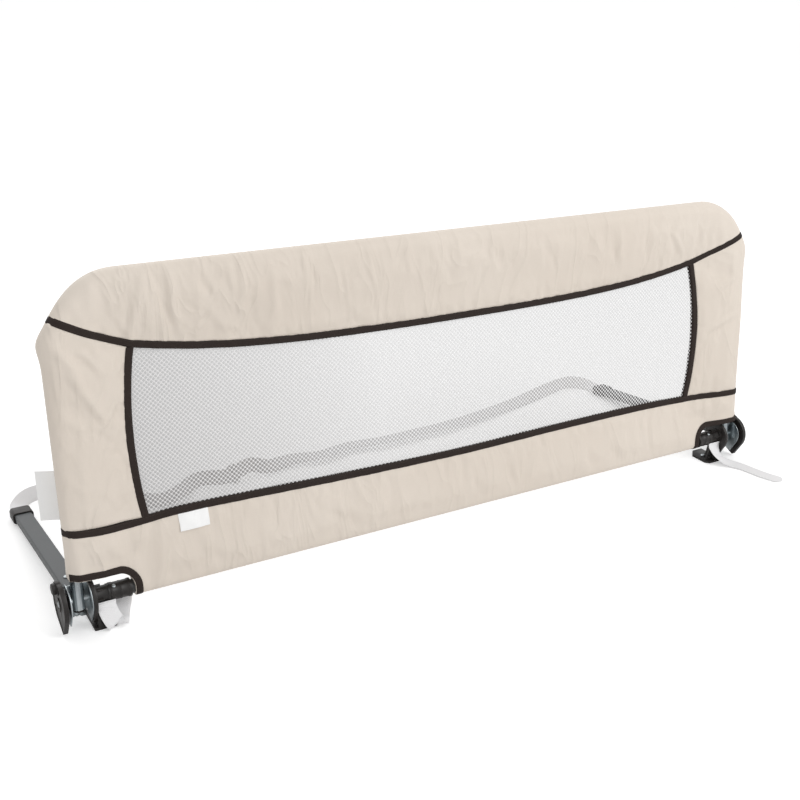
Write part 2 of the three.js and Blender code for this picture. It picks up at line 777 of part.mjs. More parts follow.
// Moulded inner cover: a disc with the socket that takes the end of the cross tube
function addInnerCover(group, side) {
  const shape = hingeOutline(hingeFrontRadius, hingeBack, hingeDrop);
  const disc = sidePlate(shape, side * innerCoverInner, side * innerCoverOuter, 12);
  const socket = rodX(
    side * socketInner, side * (innerCoverInner + clearance), socketDiameter, 0, axisHeight, 20,
  );
  const tubeRoomX = side * (innerCoverOuter - nutThickness);
  const tubeHole = rodX(
    side * (socketInner - overrun), tubeRoomX, crossTubeDiameter + 3 * clearance, 0, axisHeight, 16,
  );
  const boltHole = rodX(
    tubeRoomX, side * (innerCoverOuter + overrun), boltDiameter + 2 * holeClearance,
    0, axisHeight, 16,
  );
  const cover = disc.add(socket).subtract(tubeHole).subtract(boltHole);
  add(group, "inner_cover_" + sideName(side), cover, blackPlastic);
}

// Pivot bolt from the outer cover to a nut inside the socket
function addPivot(group, side) {
  const headFace = coverOuter - clearance;
  const nutFace = innerCoverOuter - nutThickness - clearance;
  const tip = nutFace - nutThickness - 2 * clearance;
  const r = boltDiameter / 2;
  const profile = [
    [0, tip],
    [r, tip],
    [r, headFace - boltHeadThickness],
    [boltHeadDiameter / 2, headFace - boltHeadThickness],
    [boltHeadDiameter / 2, headFace - boltHeadThickness / 3],
    [boltHeadDiameter / 3, headFace],
    [0, headFace],
  ];
  add(group, "pivot_bolt_" + sideName(side), latheX(profile, 14, side, 0, axisHeight), zinc);
  const nut = new THREE.CylinderGeometry(nutAcross / 2, nutAcross / 2, nutThickness, 6);
  nut.rotateZ(Math.PI / 2);
  nut.translate(side * (nutFace - nutThickness / 2), 0, axisHeight);
  const hole = rodX(
    side * (nutFace - 2 * nutThickness), side * (nutFace + nutThickness),
    boltDiameter + 2 * holeClearance, 0, axisHeight, 14,
  );
  add(group, "pivot_nut_" + sideName(side), solid(nut).subtract(hole), zinc);
}

// Release button with a blind well, and the spring that pushes it out
function addButton(group, side) {
  const inner = plateOuter + plateThickness + buttonTravel + clearance;
  const outer = coverOuter + buttonProud;
  const r = buttonDiameter / 2;
  const well = springDiameter / 2 + clearance;
  const floor = outer - buttonProud;
  const profile = [
    [well, inner],
    [r, inner],
    [r, outer - buttonWall],
    [r - buttonWall / 3, outer - buttonWall / 3],
    [r - buttonWall, outer],
    [0, outer],
    [0, floor],
    [well, floor],
    [well, inner],
  ];
  const button = latheX(profile, 16, side, buttonSetback, buttonHeight);
  add(group, "release_button_" + sideName(side), button, blackPlastic);
  const spring = springBody(plateOuter + plateThickness + clearance, floor - clearance, side);
  add(group, "button_spring_" + sideName(side), spring, zinc);
}

function springBody(from, to, side) {
  const steps = springTurns * 8;
  const radius = (springDiameter - springWire) / 2;
  const start = from + springWire / 2;
  const length = to - from - springWire;
  const sides = 5;
  const rings = Array.from({ length: steps + 1 }, (_, i) => {
    const turn = (2 * Math.PI * springTurns * i) / steps;
    const out = new THREE.Vector3(0, Math.cos(turn), Math.sin(turn));
    const centre = new THREE.Vector3(start + (length * i) / steps, 0, 0).addScaledVector(out, radius);
    return Array.from({ length: sides }, (_, k) => {
      const around = (2 * Math.PI * k) / sides;
      const point = centre.clone().addScaledVector(out, (Math.cos(around) * springWire) / 2);
      point.x += (Math.sin(around) * springWire) / 2;
      return new THREE.Vector3(side * point.x, buttonSetback + point.y, buttonHeight + point.z);
    });
  });
  return loft(side < 0 ? rings : rings.map((ring) => ring.reverse()));
}

// Foot under the hinge: a plate that lies flat on the floor and a rib up to the socket
function addFoot(group, side) {
  const outer = innerCoverOuter;
  const inner = outer - footWidth;
  const cut = footWidth / 3;
  const y0 = -footLength / 2;
  const y1 = footLength / 2;
  const outline = [
    [inner, y0 + cut / 2],
    [inner + cut / 2, y0],
    [outer, y0],
    [outer, y1],
    [inner + cut, y1],
    [inner, y1 - cut],
  ].map(([x, y]) => new THREE.Vector2(side * x, y));
  const shape = new THREE.Shape(side < 0 ? outline.reverse() : outline);
  const plate = new THREE.ExtrudeGeometry(shape, { depth: footThickness, bevelEnabled: false });
  plate.rotateX(lean);
  plate.translate(0, footSetback, -footDepth);
  const ribOuter = innerCoverInner - clearance;
  const rib = block(
    side * (ribOuter - footRibWidth), side * ribOuter,
    -footRibDepth / 2, footRibDepth / 2,
    -footDepth + footThickness / 2, axisHeight - socketDiameter / 3,
  );
  const socketRoom = rodX(
    side * (ribOuter - 2 * footRibWidth), side * (ribOuter + overrun),
    socketDiameter + 2 * clearance, 0, axisHeight, 20,
  );
  const screwX = side * (ribOuter - footRibWidth - footScrewDiameter);
  const hole = footScrewRod(screwX, footScrewDiameter / 2 + 2 * holeClearance);
  const foot = solid(plate).add(rib).subtract(socketRoom).subtract(hole);
  add(group, "foot_" + sideName(side), foot, blackPlastic);
  const tip = footThickness / 4;
  const seat = footThickness + clearance;
  const top = seat + footScrewHeadHeight;
  const r = footScrewDiameter / 2;
  const profile = [
    [0, tip],
    [r / 2, tip],
    [r / 2, seat],
    [r, seat],
    [r, top - footScrewHeadHeight / 2],
    [r / 2, top],
    [0, top],
  ];
  const screw = lathe(profile, 14);
  screw.rotateX(lean);
  screw.translate(screwX, footSetback, -footDepth);
  add(group, "foot_screw_" + sideName(side), solid(screw), zinc);
}

function footScrewRod(x, diameter) {
  const geometry = new THREE.CylinderGeometry(diameter / 2, diameter / 2, 4 * footThickness, 14);
  geometry.rotateX(Math.PI / 2 + lean);
  geometry.translate(x, footSetback, -footDepth);
  return solid(geometry);
}

// Flat-oval section across X and Z, given length along Y
function ovalBar(x, width, height, y0, y1) {
  const r = height / 3;
  const w = width / 2 - r;
  const h = height / 2 - r;
  const shape = new THREE.Shape();
  shape.absarc(w, h, r, 0, Math.PI / 2, false);
  shape.absarc(-w, h, r, Math.PI / 2, Math.PI, false);
  shape.absarc(-w, -h, r, Math.PI, 1.5 * Math.PI, false);
  shape.absarc(w, -h, r, 1.5 * Math.PI, 2 * Math.PI, false);
  const geometry = new THREE.ExtrudeGeometry(shape, {
    depth: y1 - y0, bevelEnabled: false, curveSegments: 3,
  });
  geometry.rotateX(Math.PI / 2);
  geometry.translate(x, y1, legCentreHeight);
  return solid(geometry);
}

function addLeg(group, side) {
  const x = side * hingeCentre;
  const start = webSetback + plateThickness + clearance;
  const outside = ovalBar(x, legWidth, legHeight, start, legEnd);
  const hollow = ovalBar(
    x, legWidth - 2 * legWall, legHeight - 2 * legWall, start - overrun, legEnd + overrun,
  );
  const hole = rodZ(x, legBoltPlace(), legBoltDiameter + 2 * holeClearance);
  add(group, "leg_tube_" + sideName(side), outside.subtract(hollow).subtract(hole), greyPaint);

  const cap = ovalBar(x, legCapWidth, legCapHeight, capEnd - legCapLength, capEnd);
  const room = ovalBar(
    x, legWidth + 2 * clearance, legHeight + 2 * clearance,
    capEnd - legCapLength - overrun, legEnd + clearance,
  );
  const slotHeight = webbingThickness + 4 * clearance;
  const slot = block(
    x - webbingWidth / 2 - clearance, x + webbingWidth / 2 + clearance,
    legEnd - overrun, capEnd + overrun,
    legCentreHeight - slotHeight / 2, legCentreHeight + slotHeight / 2,
  );
  add(group, "leg_cap_" + sideName(side), cap.subtract(room).subtract(slot), blackPlastic);

  const r = legBoltDiameter / 2;
  const head = legBoltHeadDiameter / 2;
  const seat = legHeight / 2 + clearance;
  const top = legHeight / 2 + legWall;
  const profile = [
    [0, -top],
    [head, -top],
    [head, -seat],
    [r, -seat],
    [r, seat],
    [head, seat],
    [head, top],
    [0, top],
  ];
  const bolt = lathe(profile, 12);
  bolt.translate(x, legBoltPlace(), legCentreHeight);
  add(group, "leg_bolt_" + sideName(side), solid(bolt), zinc);
}

// Flat webbing along a path, with the direction of its width at each point
function webbingFrame(path, widths, share, reach = 0) {
  const ends = [path.getPoint(share - reach), path.getPoint(share + reach)];
  const place = ends[0].clone().add(ends[1]).divideScalar(2);
  const along = reach ? ends[1].sub(ends[0]).normalize() : path.getTangent(share);
  const at = Math.min(Math.floor(share * (widths.length - 1)), widths.length - 2);
  const rough = widths[at].clone().lerp(widths[at + 1], share * (widths.length - 1) - at);
  const thick = rough.clone().cross(along).normalize();
  const wide = along.clone().cross(thick);
  return new THREE.Matrix4().makeBasis(wide, along, thick).setPosition(place);
}

function ribbon(path, widths) {
  const steps = 2 * (widths.length - 1);
  const rings = Array.from({ length: steps + 1 }, (_, i) => {
    const frame = webbingFrame(path, widths, i / steps);
    return [[-1, -1], [1, -1], [1, 1], [-1, 1]].map(([a, b]) =>
      new THREE.Vector3((a * webbingWidth) / 2, 0, (b * webbingThickness) / 2).applyMatrix4(frame),
    );
  });
  return loft(rings);
}

function curveThrough(points) {
  return new THREE.CatmullRomCurve3(points.map(([x, y, z]) => new THREE.Vector3(x, y, z)));
}

// Route of the strap between the legs, from the left cap to the right one: X as a share of the
// hinges' distance, Y as a share of the legs' reach, and the turn of its width from flat
const legStrapShares = [
  [-0.995, 1.08, 0.36],
  [-0.962, 1.125, 0.8],
  [-0.91, 1.14, 0.98],
  [-0.846, 1.09, 1],
  [-0.757, 0.955, 0.96],
  [-0.664, 0.81, 0.88],
  [-0.593, 0.84, 0.75],
  [-0.516, 0.925, 0.66],
  [-0.437, 0.885, 0.72],
  [-0.353, 0.955, 0.72],
  [-0.303, 0.905, 0.74],
  [-0.215, 0.945, 0.66],
  [-0.129, 0.92, 0.6],
  [-0.019, 0.96, 0.66],
  [0.079, 0.935, 0.66],
  [0.215, 0.945, 0.66],
  [0.329, 0.955, 0.72],
  [0.514, 1.01, 0.78],
  [0.688, 1.075, 0.84],
  [0.826, 1.13, 0.9],
  [0.92, 1.155, 0.9],
  [0.974, 1.125, 0.67],
  [0.997, 1.075, 0.36],
];

const slotPoints = 2; // points of the route inside a cap, ahead of the table
const slidePlace = 10.25; // of the slide along the route, counted in its points
const slideRiseReach = 3; // points over which the webbing rises to the slide's height

function legStrapRoute() {
  const slot = (side, y) => ({ at: [side * hingeCentre, y, legCentreHeight], turn: 0 });
  const free = legStrapShares.map(([xShare, yShare, turnShare], i) => {
    const turn = (turnShare * Math.PI) / 2;
    const y = yShare * legEnd;
    const lift = (webbingWidth * Math.sin(turn) + webbingThickness * Math.cos(turn)) / 2;
    const nearSlot = Math.max(0, 1 - turnShare / legStrapShares[1][2]);
    const hang = (legCentreHeight - floorHeight(y) - lift) * nearSlot;
    const fromSlide = Math.abs(i + slotPoints - slidePlace) / slideRiseReach;
    const rise = 3 * clearance + slideWall * Math.max(0, 1 - fromSlide ** 2);
    const z = floorHeight(y) + lift + rise + hang;
    return { at: [xShare * hingeCentre, y, z], turn };
  });
  const inSlot = legEnd + 2 * clearance;
  const outside = capEnd + 2 * legCapWall;
  return [slot(-1, inSlot), slot(-1, outside), ...free, slot(1, outside), slot(1, inSlot)];
}

function addLegStrap(group) {
  const route = legStrapRoute();
  const path = curveThrough(route.map(({ at }) => at));
  const last = route.length - 1;
  const widths = route.map(({ turn }, i) => {
    const along = path.getTangent(i / last);
    const level = new THREE.Vector3(0, 0, 1).cross(along).normalize();
    const up = along.clone().cross(level);
    return level.multiplyScalar(Math.cos(turn)).addScaledVector(up, Math.sin(turn));
  });
  add(group, "leg_strap", ribbon(path, widths), webbing);

  const wide = webbingWidth + 2 * slideWall;
  const deep = webbingThickness + 2 * slideWall;
  const body = new THREE.BoxGeometry(wide, slideLength, deep);
  const slot = new THREE.BoxGeometry(
    webbingWidth + 4 * clearance, slideLength + 2 * overrun, webbingThickness + 5 * clearance,
  );
  const slide = solid(body).subtract(solid(slot));
  const frame = webbingFrame(path, widths, slidePlace / last, 1 / (4 * last));
  add(group, "strap_slide", geometryOf(slide).applyMatrix4(frame), webbing);
}

// Both hinge straps start stitched round the socket, in front of the fold axis
function wrapPoint(turn) {
  const radius = sleeveDiameter / 2 + wrapSlack + webbingThickness / 2;
  const x = innerCoverInner - webbingWidth / 2 - 3 * clearance;
  return [x, -radius * Math.cos(turn), axisHeight + radius * Math.sin(turn)];
}

// The hinge straps past the sleeve: across as shares of the webbing's width, outwards from the
// inner cover, forwards as shares of the foot's depth, and up as shares of that depth where they
// hang and of the webbing's thickness where they lie on the floor
const wrapTurns = [-0.55, -0.75];
const looseHangShares = [[-0.54, -0.37, -0.15], [-0.54, -0.58, -0.45], [-0.3, -0.86, -0.78]];
const looseFloorShares = [
  [0.2, -1.15, 3.2], [0.6, -1.6, 1.6], [0.82, -2.2, 1.2], [0.96, -2.8, 1.2], [1.18, -3.4, 1.2],
  [1.56, -4.05, 1.2],
];
const loopShares = [
  [-0.54, -0.36, -0.1], [-0.64, -0.43, -0.38], [-0.8, -0.44, -0.6], [-0.98, -0.34, -0.76],
  [-1.2, -0.06, -0.74], [-1.42, 0.2, -0.6], [-1.58, 0.39, -0.4], [-1.66, 0.48, -0.12],
  [-1.68, 0.51, 0.12], [-1.68, 0.49, 0.28],
];

function addHingeStraps(group) {
  const acrossAt = (share) => innerCoverInner + share * webbingWidth;
  const hang = ([x, y, z]) => [acrossAt(x), y * footDepth, z * footDepth];
  const lie = ([x, y, lift]) => [
    acrossAt(x), y * footDepth, floorHeight(y * footDepth) + lift * webbingThickness,
  ];
  const start = wrapTurns.map(wrapPoint);
  const loose = [...start, ...looseHangShares.map(hang), ...looseFloorShares.map(lie)];
  addWebbing(group, "hinge_strap_right", loose);
  const loop = [...start, ...loopShares.map(hang)];
  addWebbing(group, "hinge_strap_left", loop.map(([x, y, z]) => [-x, y, z]));
}

function addWebbing(group, name, points) {
  const widths = points.map(() => new THREE.Vector3(1, 0, 0));
  add(group, name, ribbon(curveThrough(points), widths), webbing);
}

const rail = new THREE.Group();
addCover(rail);
addLabels(rail);
addFrame(rail);
addCrossTube(rail);
for (const side of [-1, 1]) {
  addBracket(rail, side);
  addOuterCover(rail, side);
  addInnerCover(rail, side);
  addPivot(rail, side);
  addButton(rail, side);
  addFoot(rail, side);
  addLeg(rail, side);
}
addLegStrap(rail);
addHingeStraps(rail);

// Lean the rail back onto its feet and put the origin at the middle of its base
rail.rotation.x = -lean;
rail.updateMatrixWorld(true);
const box = new THREE.Box3().setFromObject(rail, true);
rail.position.set(0, -(box.min.y + box.max.y) / 2, -box.min.z);

const part = new THREE.Group();
part.add(rail);

export default part;
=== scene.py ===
# Folding bed guard rail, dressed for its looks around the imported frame. Sizes are in metres. The
# rail is modelled upright, with the bottom edge of its fabric at height zero and its middle plane
# at depth zero, and each finished mesh is then leant back to its place in the frame.
import json
import math

import bpy
from mathutils import Matrix, Vector, noise


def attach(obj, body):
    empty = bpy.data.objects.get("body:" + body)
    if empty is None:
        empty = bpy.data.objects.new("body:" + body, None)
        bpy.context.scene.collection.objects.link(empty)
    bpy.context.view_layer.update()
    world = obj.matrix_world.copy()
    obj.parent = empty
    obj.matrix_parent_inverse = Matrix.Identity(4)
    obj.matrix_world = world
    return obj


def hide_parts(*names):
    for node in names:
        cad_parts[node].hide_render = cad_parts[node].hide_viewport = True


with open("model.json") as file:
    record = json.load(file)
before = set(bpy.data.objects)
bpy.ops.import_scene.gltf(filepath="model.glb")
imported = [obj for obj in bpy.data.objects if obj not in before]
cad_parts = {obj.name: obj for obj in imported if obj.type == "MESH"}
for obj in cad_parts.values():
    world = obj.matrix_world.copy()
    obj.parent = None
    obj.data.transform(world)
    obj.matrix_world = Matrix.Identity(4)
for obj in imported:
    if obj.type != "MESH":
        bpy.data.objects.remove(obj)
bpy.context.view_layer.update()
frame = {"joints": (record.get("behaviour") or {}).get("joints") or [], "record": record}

# The rail stands leant back, because the ends of its legs rest on the floor behind it. The fold
# joint gives the height of its pivots, and the flat of a leg's cap gives the lean.
fold = next(joint for joint in frame["joints"] if joint["name"] == "fold")
mounts = {mount["name"]: mount for mount in frame["record"]["mounts"]}
cap_axis = mounts["leg_cap_top_left"]["axis"]
lean = math.atan2(cap_axis[1], cap_axis[2])
pivot_height = 0.012
upright_to_frame = (
    Matrix.Translation(fold["pos_m"])
    @ Matrix.Rotation(-lean, 4, "X")
    @ Matrix.Translation((0, 0, -pivot_height))
)


def finish_piece(piece, material, body, slot, *nodes):
    """Leans a finished piece back into the frame, with its material, under its body, and hides what it
    replaces.
    """
    bpy.ops.object.select_all(action="DESELECT")
    piece.data.materials.clear()
    piece.data.materials.append(material)
    piece.data.transform(upright_to_frame)
    piece.data.update()
    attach(piece, body)
    if nodes:
        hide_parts(*nodes)
    return piece


def new_material(name, uniform=()):
    """A material with a Principled shader, whose own sockets take the uniform numbers."""
    material = bpy.data.materials.new(name)
    material.use_nodes = True
    tree = material.node_tree
    shader = tree.nodes["Principled BSDF"]
    for key, value in dict(uniform).items():
        shader.inputs[key].default_value = value
    return material, tree, shader


def add_node(tree, kind, inputs=(), **settings):
    """A node with its settings, and its inputs set to a value or linked to a socket."""
    node = tree.nodes.new(kind)
    for key, value in settings.items():
        setattr(node, key, value)
    for key, value in dict(inputs).items():
        if isinstance(value, bpy.types.NodeSocket):
            tree.links.new(value, node.inputs[key])
        else:
            node.inputs[key].default_value = value
    return node


# The photograph is taken from the front left and a little above. The camera stands in the rail's
# upright frame, as fitted to the outline of the fabric, and leans back with the rail.
camera_place = (-0.84914, -1.29882, 0.64257)
camera_right = Vector((0.85969, -0.51007, -0.02774))
camera_forward = Vector((0.48217, 0.82821, -0.28562))
camera_data = bpy.data.cameras.new("camera")
camera_data.sensor_width = 36
camera_data.lens = 48.37
camera = bpy.data.objects.new("camera", camera_data)
bpy.context.scene.collection.objects.link(camera)
camera_turn = Matrix((camera_right, camera_right.cross(camera_forward), -camera_forward)).transposed()
camera.matrix_world = upright_to_frame @ Matrix.Translation(camera_place) @ camera_turn.to_4x4()
bpy.context.scene.camera = camera

# Padded cover: thin beige polyester sewn over a sheet of wadding, drawn tight over the tube frame
# round its edge and thin at the seams round the window. Each section is a closed pad that swells
# a little in a cloth simulation between its seams.
panel_length = 1.2
panel_height = 0.435
corner_radius = 0.11
tube_depth = 0.0185
padded_half_depth = 0.0155
hem_half_depth = 0.0124
seam_half_depth = 0.0024
tape_width = 0.010
upper_tape_height = 0.307
upper_tape_sag = 0.030
upper_tape_turn = 0.7
upper_tape_rise = {-1: 0.050, 1: 0.044}
lower_tape_height = 0.095
lower_tape_places = (
    (-0.60, 0.109), (-0.55, 0.103), (-0.50, 0.100), (-0.44, 0.1035), (-0.34, 0.102), (-0.20, 0.098),
    (0.00, 0.095), (0.20, 0.098), (0.38, 0.099), (0.46, 0.097), (0.60, 0.094),
)
left_inset = 0.009
drawn_from = 0.50
drawn_run = 0.09
side_bulge = {-1: 0.006, 1: 0.0035}
bulge_height = 0.352
bulge_spread = 0.018
side_tape_reach = 0.4935
side_tape_bow = {-1: 0.010, 1: 0.014}
window_middle = 0.215
window_corner = 0.110
half_length = panel_length / 2
seam_overlap = 0.0012
seam_gap = tape_width / 2 - seam_overlap
tape_corner = 0.4795
both_sides = ((-1, "left"), (1, "right"))


def upper_tape(x):
    """Height of the middle of the upper tape."""
    inside = min(abs(x) / tape_corner, 1)
    outside = max(abs(x) - tape_corner, 0) / (half_length - tape_corner)
    climb = (1 - upper_tape_turn) * inside**2 + upper_tape_turn * inside**4
    rise = upper_tape_rise[-1 if x < 0 else 1]
    return upper_tape_height + upper_tape_sag * climb + rise * outside**1.1


def lower_tape(x):
    """Height of the middle of the lower tape, which the photograph shows a little uneven."""
    places = lower_tape_places
    x = min(max(x, places[0][0]), places[-1][0])
    i = next(i for i in range(1, len(places)) if x <= places[i][0])
    before, a, b, after = (places[min(max(j, 0), len(places) - 1)] for j in range(i - 2, i + 2))
    run = b[0] - a[0]
    t = (x - a[0]) / run
    climb_a = (b[1] - before[1]) / max(b[0] - before[0], 0.001) * run
    climb_b = (after[1] - a[1]) / max(after[0] - a[0], 0.001) * run
    ease = 3 * t**2 - 2 * t**3
    return a[1] + (b[1] - a[1]) * ease + climb_a * (t - 2 * t**2 + t**3) + climb_b * (t**3 - t**2)


def side_tape(side, z):
    """Distance of the middle of a side tape from the middle of the panel."""
    return side_tape_reach - side_tape_bow[side] * ((z - window_middle) / window_corner) ** 2


def outline_reach(z):
    """Distance of the panel's side edge from the middle, at a height."""
    over = min(max(z - (panel_height - corner_radius), 0), corner_radius)
    return half_length - corner_radius + math.sqrt(corner_radius**2 - over**2)


def line_end(line, side, shift=0.0):
    """Distance from the middle at which a tape's line, shifted up, meets the outline."""
    x = half_length
    for step in range(12):
        x = outline_reach(line(side * x) + shift)
    return x


def drawn_in(x, z):
    """Where a point of the cover lies across the panel. Its left side is drawn in a little, and
    both sides bulge just under the upper tape."""
    side = -1 if x < 0 else 1
    near = min(max((abs(x) - drawn_from) / drawn_run, 0), 1)
    out = side_bulge[side] * math.exp(-(((z - bulge_height) / bulge_spread) ** 2))
    if side < 0:
        out -= left_inset
    return x + side * out * near**2 * (3 - 2 * near)


def teardrop(distance, middle, depth, reach):
    """Half depth of fabric drawn round a tube, at a distance from the edge it turns at."""
    if distance <= 0:
        return 0
    if distance < middle:
        return depth * math.sqrt(1 - ((middle - distance) / middle) ** 2)
    share = min((distance - middle) / (reach - middle - tape_width), 1)
    return seam_half_depth + (depth - seam_half_depth) * (1 + math.cos(math.pi * share)) / 2


def edge_distance(x, z):
    """Distance of a place in the panel from its top or side edge."""
    in_x = abs(x) - (half_length - corner_radius)
    in_z = z - (panel_height - corner_radius)
    if in_x > 0 and in_z > 0:
        return corner_radius - math.hypot(in_x, in_z)
    return min(half_length - abs(x), panel_height - z)


def half_depth(x, z):
    """Half the depth of the stuffed panel."""
    hem_ease = 0.033
    rim = teardrop(edge_distance(x, z), tube_depth, padded_half_depth, panel_height - upper_tape_height)
    if z < hem_ease:
        rim *= math.sqrt(max(z, 0) / hem_ease)
    return max(rim, teardrop(z, pivot_height, hem_half_depth, lower_tape_height))


def corner_edge(side, steps):
    """Points of a top corner's edge, from the end of the upper tape to the straight top."""
    middle = (half_length - corner_radius, panel_height - corner_radius)
    end = math.acos((line_end(upper_tape, side, seam_gap) - middle[0]) / corner_radius)
    turns = [end + (math.pi / 2 - end) * i / steps for i in range(steps)]
    return [
        (side * (middle[0] + corner_radius * math.cos(t)), middle[1] + corner_radius * math.sin(t))
        for t in turns
    ]


def only(piece):
    """Selects one piece alone and makes it the active one."""
    bpy.ops.object.select_all(action="DESELECT")
    bpy.context.view_layer.objects.active = piece
    piece.select_set(True)


def edit(piece):
    """Opens one piece alone in edit mode, with nothing in it selected."""
    only(piece)
    bpy.ops.object.mode_set(mode="EDIT")
    bpy.ops.mesh.select_all(action="DESELECT")


def face_outwards(piece, merge=0.0):
    """Turns all faces outwards, after points closer than a distance, if one is given, are merged."""
    edit(piece)
    bpy.ops.mesh.select_all(action="SELECT")
    if merge:
        bpy.ops.mesh.remove_doubles(threshold=merge)
        bpy.ops.mesh.dissolve_degenerate(threshold=merge)
    bpy.ops.mesh.normals_make_consistent(inside=False)
    bpy.ops.object.mode_set(mode="OBJECT")


def smooth(piece, sharp=None):
    """Shades a piece smooth, except at edges that turn by more than an angle in degrees."""
    only(piece)
    if sharp is None:
        bpy.ops.object.shade_smooth()
    else:
        bpy.ops.object.shade_smooth_by_angle(angle=math.radians(sharp))


def grid_faces(rows, columns):
    """The quads between points that are numbered row by row."""
    corners = [r * columns + c for r in range(rows - 1) for c in range(columns - 1)]
    return [(a, a + 1, a + columns + 1, a + columns) for a in corners]


def mesh_piece(name, points, faces, map_name, place):
    """A piece from points and faces, with a UV map in metres of each point's place on its cloth."""
    mesh = bpy.data.meshes.new(name)
    mesh.from_pydata(points, [], faces)
    uv = mesh.uv_layers.new(name=map_name)
    for loop in mesh.loops:
        uv.data[loop.index].uv = place(loop.vertex_index)
    piece = bpy.data.objects.new(name, mesh)
    bpy.context.scene.collection.objects.link(piece)
    return piece


pad_cell = 0.0045
edge_rows = 6
most_turned = 0.45
merge_distance = 0.00002


def shell(name, seam, edge, closed_ends):
    """A closed pad between two matched lines of points (x, z): flat at the seam and drawn round the
    tube at the edge. A vertex group holds the points that are sewn down."""
    longest = max(math.dist(a, b) for a, b in zip(seam, edge))
    flat_rows = max(2, round((longest - tube_depth) / pad_cell))
    rows = []
    for k in range(edge_rows + flat_rows + 1):
        row = []
        for (x0, z0), (x1, z1) in zip(seam, edge):
            length = math.dist((x0, z0), (x1, z1))
            zone = min(tube_depth, most_turned * length)
            if k <= edge_rows:
                away = zone * (1 - math.cos(math.pi / 2 * k / edge_rows))
            else:
                away = zone + (length - zone) * (k - edge_rows) / flat_rows
            share = away / length if length > 0 else 0
            row.append((x1 + (x0 - x1) * share, z1 + (z0 - z1) * share))
        rows.append(row)
    columns = len(seam)
    points = []
    for face in (-1, 1):
        for k, row in enumerate(rows):
            for x, z in row:
                depth = 0 if k == 0 else half_depth(x, z)
                points.append((drawn_in(x, z), face * (depth + drags(x, z, face)), z))
    layer = len(rows) * columns
    last = layer - columns
    faces = []
    for quad in grid_faces(len(rows), columns):
        faces += [quad, tuple(layer + j for j in reversed(quad))]
    faces += [(a, a + 1, a + 1 + layer, a + layer) for a in range(last, layer - 1)]
    sewn = set(range(last, layer))
    if closed_ends:
        for end in (0, columns - 1):
            for a in range(end, last, columns):
                faces.append((a, a + columns, a + columns + layer, a + layer))
                sewn.add(a)
    piece = mesh_piece(name, points, faces, "cloth", lambda i: (points[i][0], points[i][2]))
    pin = piece.vertex_groups.new(name="sewn")
    pin.add([i + shift for i in sewn for shift in (0, layer)], 1.0, "REPLACE")
    face_outwards(piece, merge_distance)
    return piece


# Creases that the photograph shows, each from (x, z) to (x, z), with its width and its height
creases = [
    ((-0.529, 0.424), (-0.531, 0.375), 0.010, 0.0016),
    ((-0.460, 0.428), (-0.484, 0.340), 0.006, 0.0020),
    ((-0.446, 0.426), (-0.428, 0.352), 0.008, -0.0014),
    ((-0.429, 0.430), (-0.425, 0.352), 0.006, 0.0016),
    ((-0.386, 0.430), (-0.371, 0.392), 0.005, 0.0016),
    ((-0.351, 0.430), (-0.344, 0.384), 0.005, 0.0015),
    ((-0.333, 0.430), (-0.335, 0.360), 0.006, 0.0013),
    ((-0.292, 0.426), (-0.287, 0.350), 0.007, 0.0012),
    ((-0.245, 0.430), (-0.236, 0.385), 0.006, 0.0010),
    ((-0.582, 0.350), (-0.556, 0.300), 0.007, 0.0028),
    ((-0.575, 0.318), (-0.530, 0.250), 0.006, 0.0022),
    ((-0.548, 0.338), (-0.522, 0.304), 0.005, 0.0016),
    ((-0.585, 0.262), (-0.560, 0.236), 0.008, 0.0016),
    ((0.300, 0.425), (0.318, 0.350), 0.007, 0.0012),
    ((0.420, 0.392), (0.452, 0.352), 0.006, 0.0014),
    ((0.560, 0.300), (0.515, 0.268), 0.006, 0.0014),
    ((0.575, 0.236), (0.520, 0.214), 0.006, 0.0012),
    ((0.400, 0.086), (0.396, 0.030), 0.005, 0.0010),
    ((0.452, 0.088), (0.456, 0.048), 0.005, 0.0011),
    ((0.330, 0.084), (0.334, 0.024), 0.006, 0.0009),
    ((-0.440, 0.086), (-0.452, 0.050), 0.006, 0.0010),
    ((-0.545, 0.086), (-0.520, 0.056), 0.006, 0.0014),
]

# Unevenness of the wadding: noise with its frequency across and up, its seed and its height
lumps = ((14, 14, 3.7, 0.0010), (55, 16, 7.1, 0.0009))
crease_lift = 1.7
pucker_height = 0.0009
pucker_run = 0.016
edge_fade = 0.006


def drags(x, z, face):
    """How far creases and the wadding's unevenness lift the fabric at a place."""
    lift = 0
    for across, up, seed, height in lumps:
        lift += height * noise.noise(Vector((x * across, z * up, seed * face)))
    leftward = min(max(0.15 + 1.6 * face * x, 0), 1)
    ridge = 1 - abs(noise.noise(Vector((x * 26 + z * 5, z * 6, 2.3 * face)))) * 2.2
    lift += (0.0004 + 0.0012 * leftward) * max(ridge, 0) ** 3
    from_seam = min(abs(z - upper_tape(x)), abs(z - lower_tape(x)), edge_distance(x, z))
    pucker = noise.noise(Vector((x * 70, z * 12, 5.9 * face)))
    lift += pucker_height * pucker * math.exp(-from_seam / pucker_run)
    place = Vector((x if face < 0 else -x, z))
    for start, end, width, height in creases:
        foot = Vector(start)
        along = Vector(end) - foot
        share = (place - foot).dot(along) / along.length_squared
        if -0.1 < share < 1.1:
            aside = (place - foot - along * share).length / width
            if aside < 3:
                taper = math.sin(math.pi * min(max((share + 0.1) / 1.2, 0), 1)) ** 0.7
                lift += crease_lift * height * taper * math.exp(-aside * aside)
    fade = min(edge_distance(x, z) / edge_fade, 1) if z > 2 * edge_fade else min(z / edge_fade, 1)
    return lift * max(fade, 0)


cutout_reach = 0.5081
cutout_height = 0.038
slack_run = 0.02


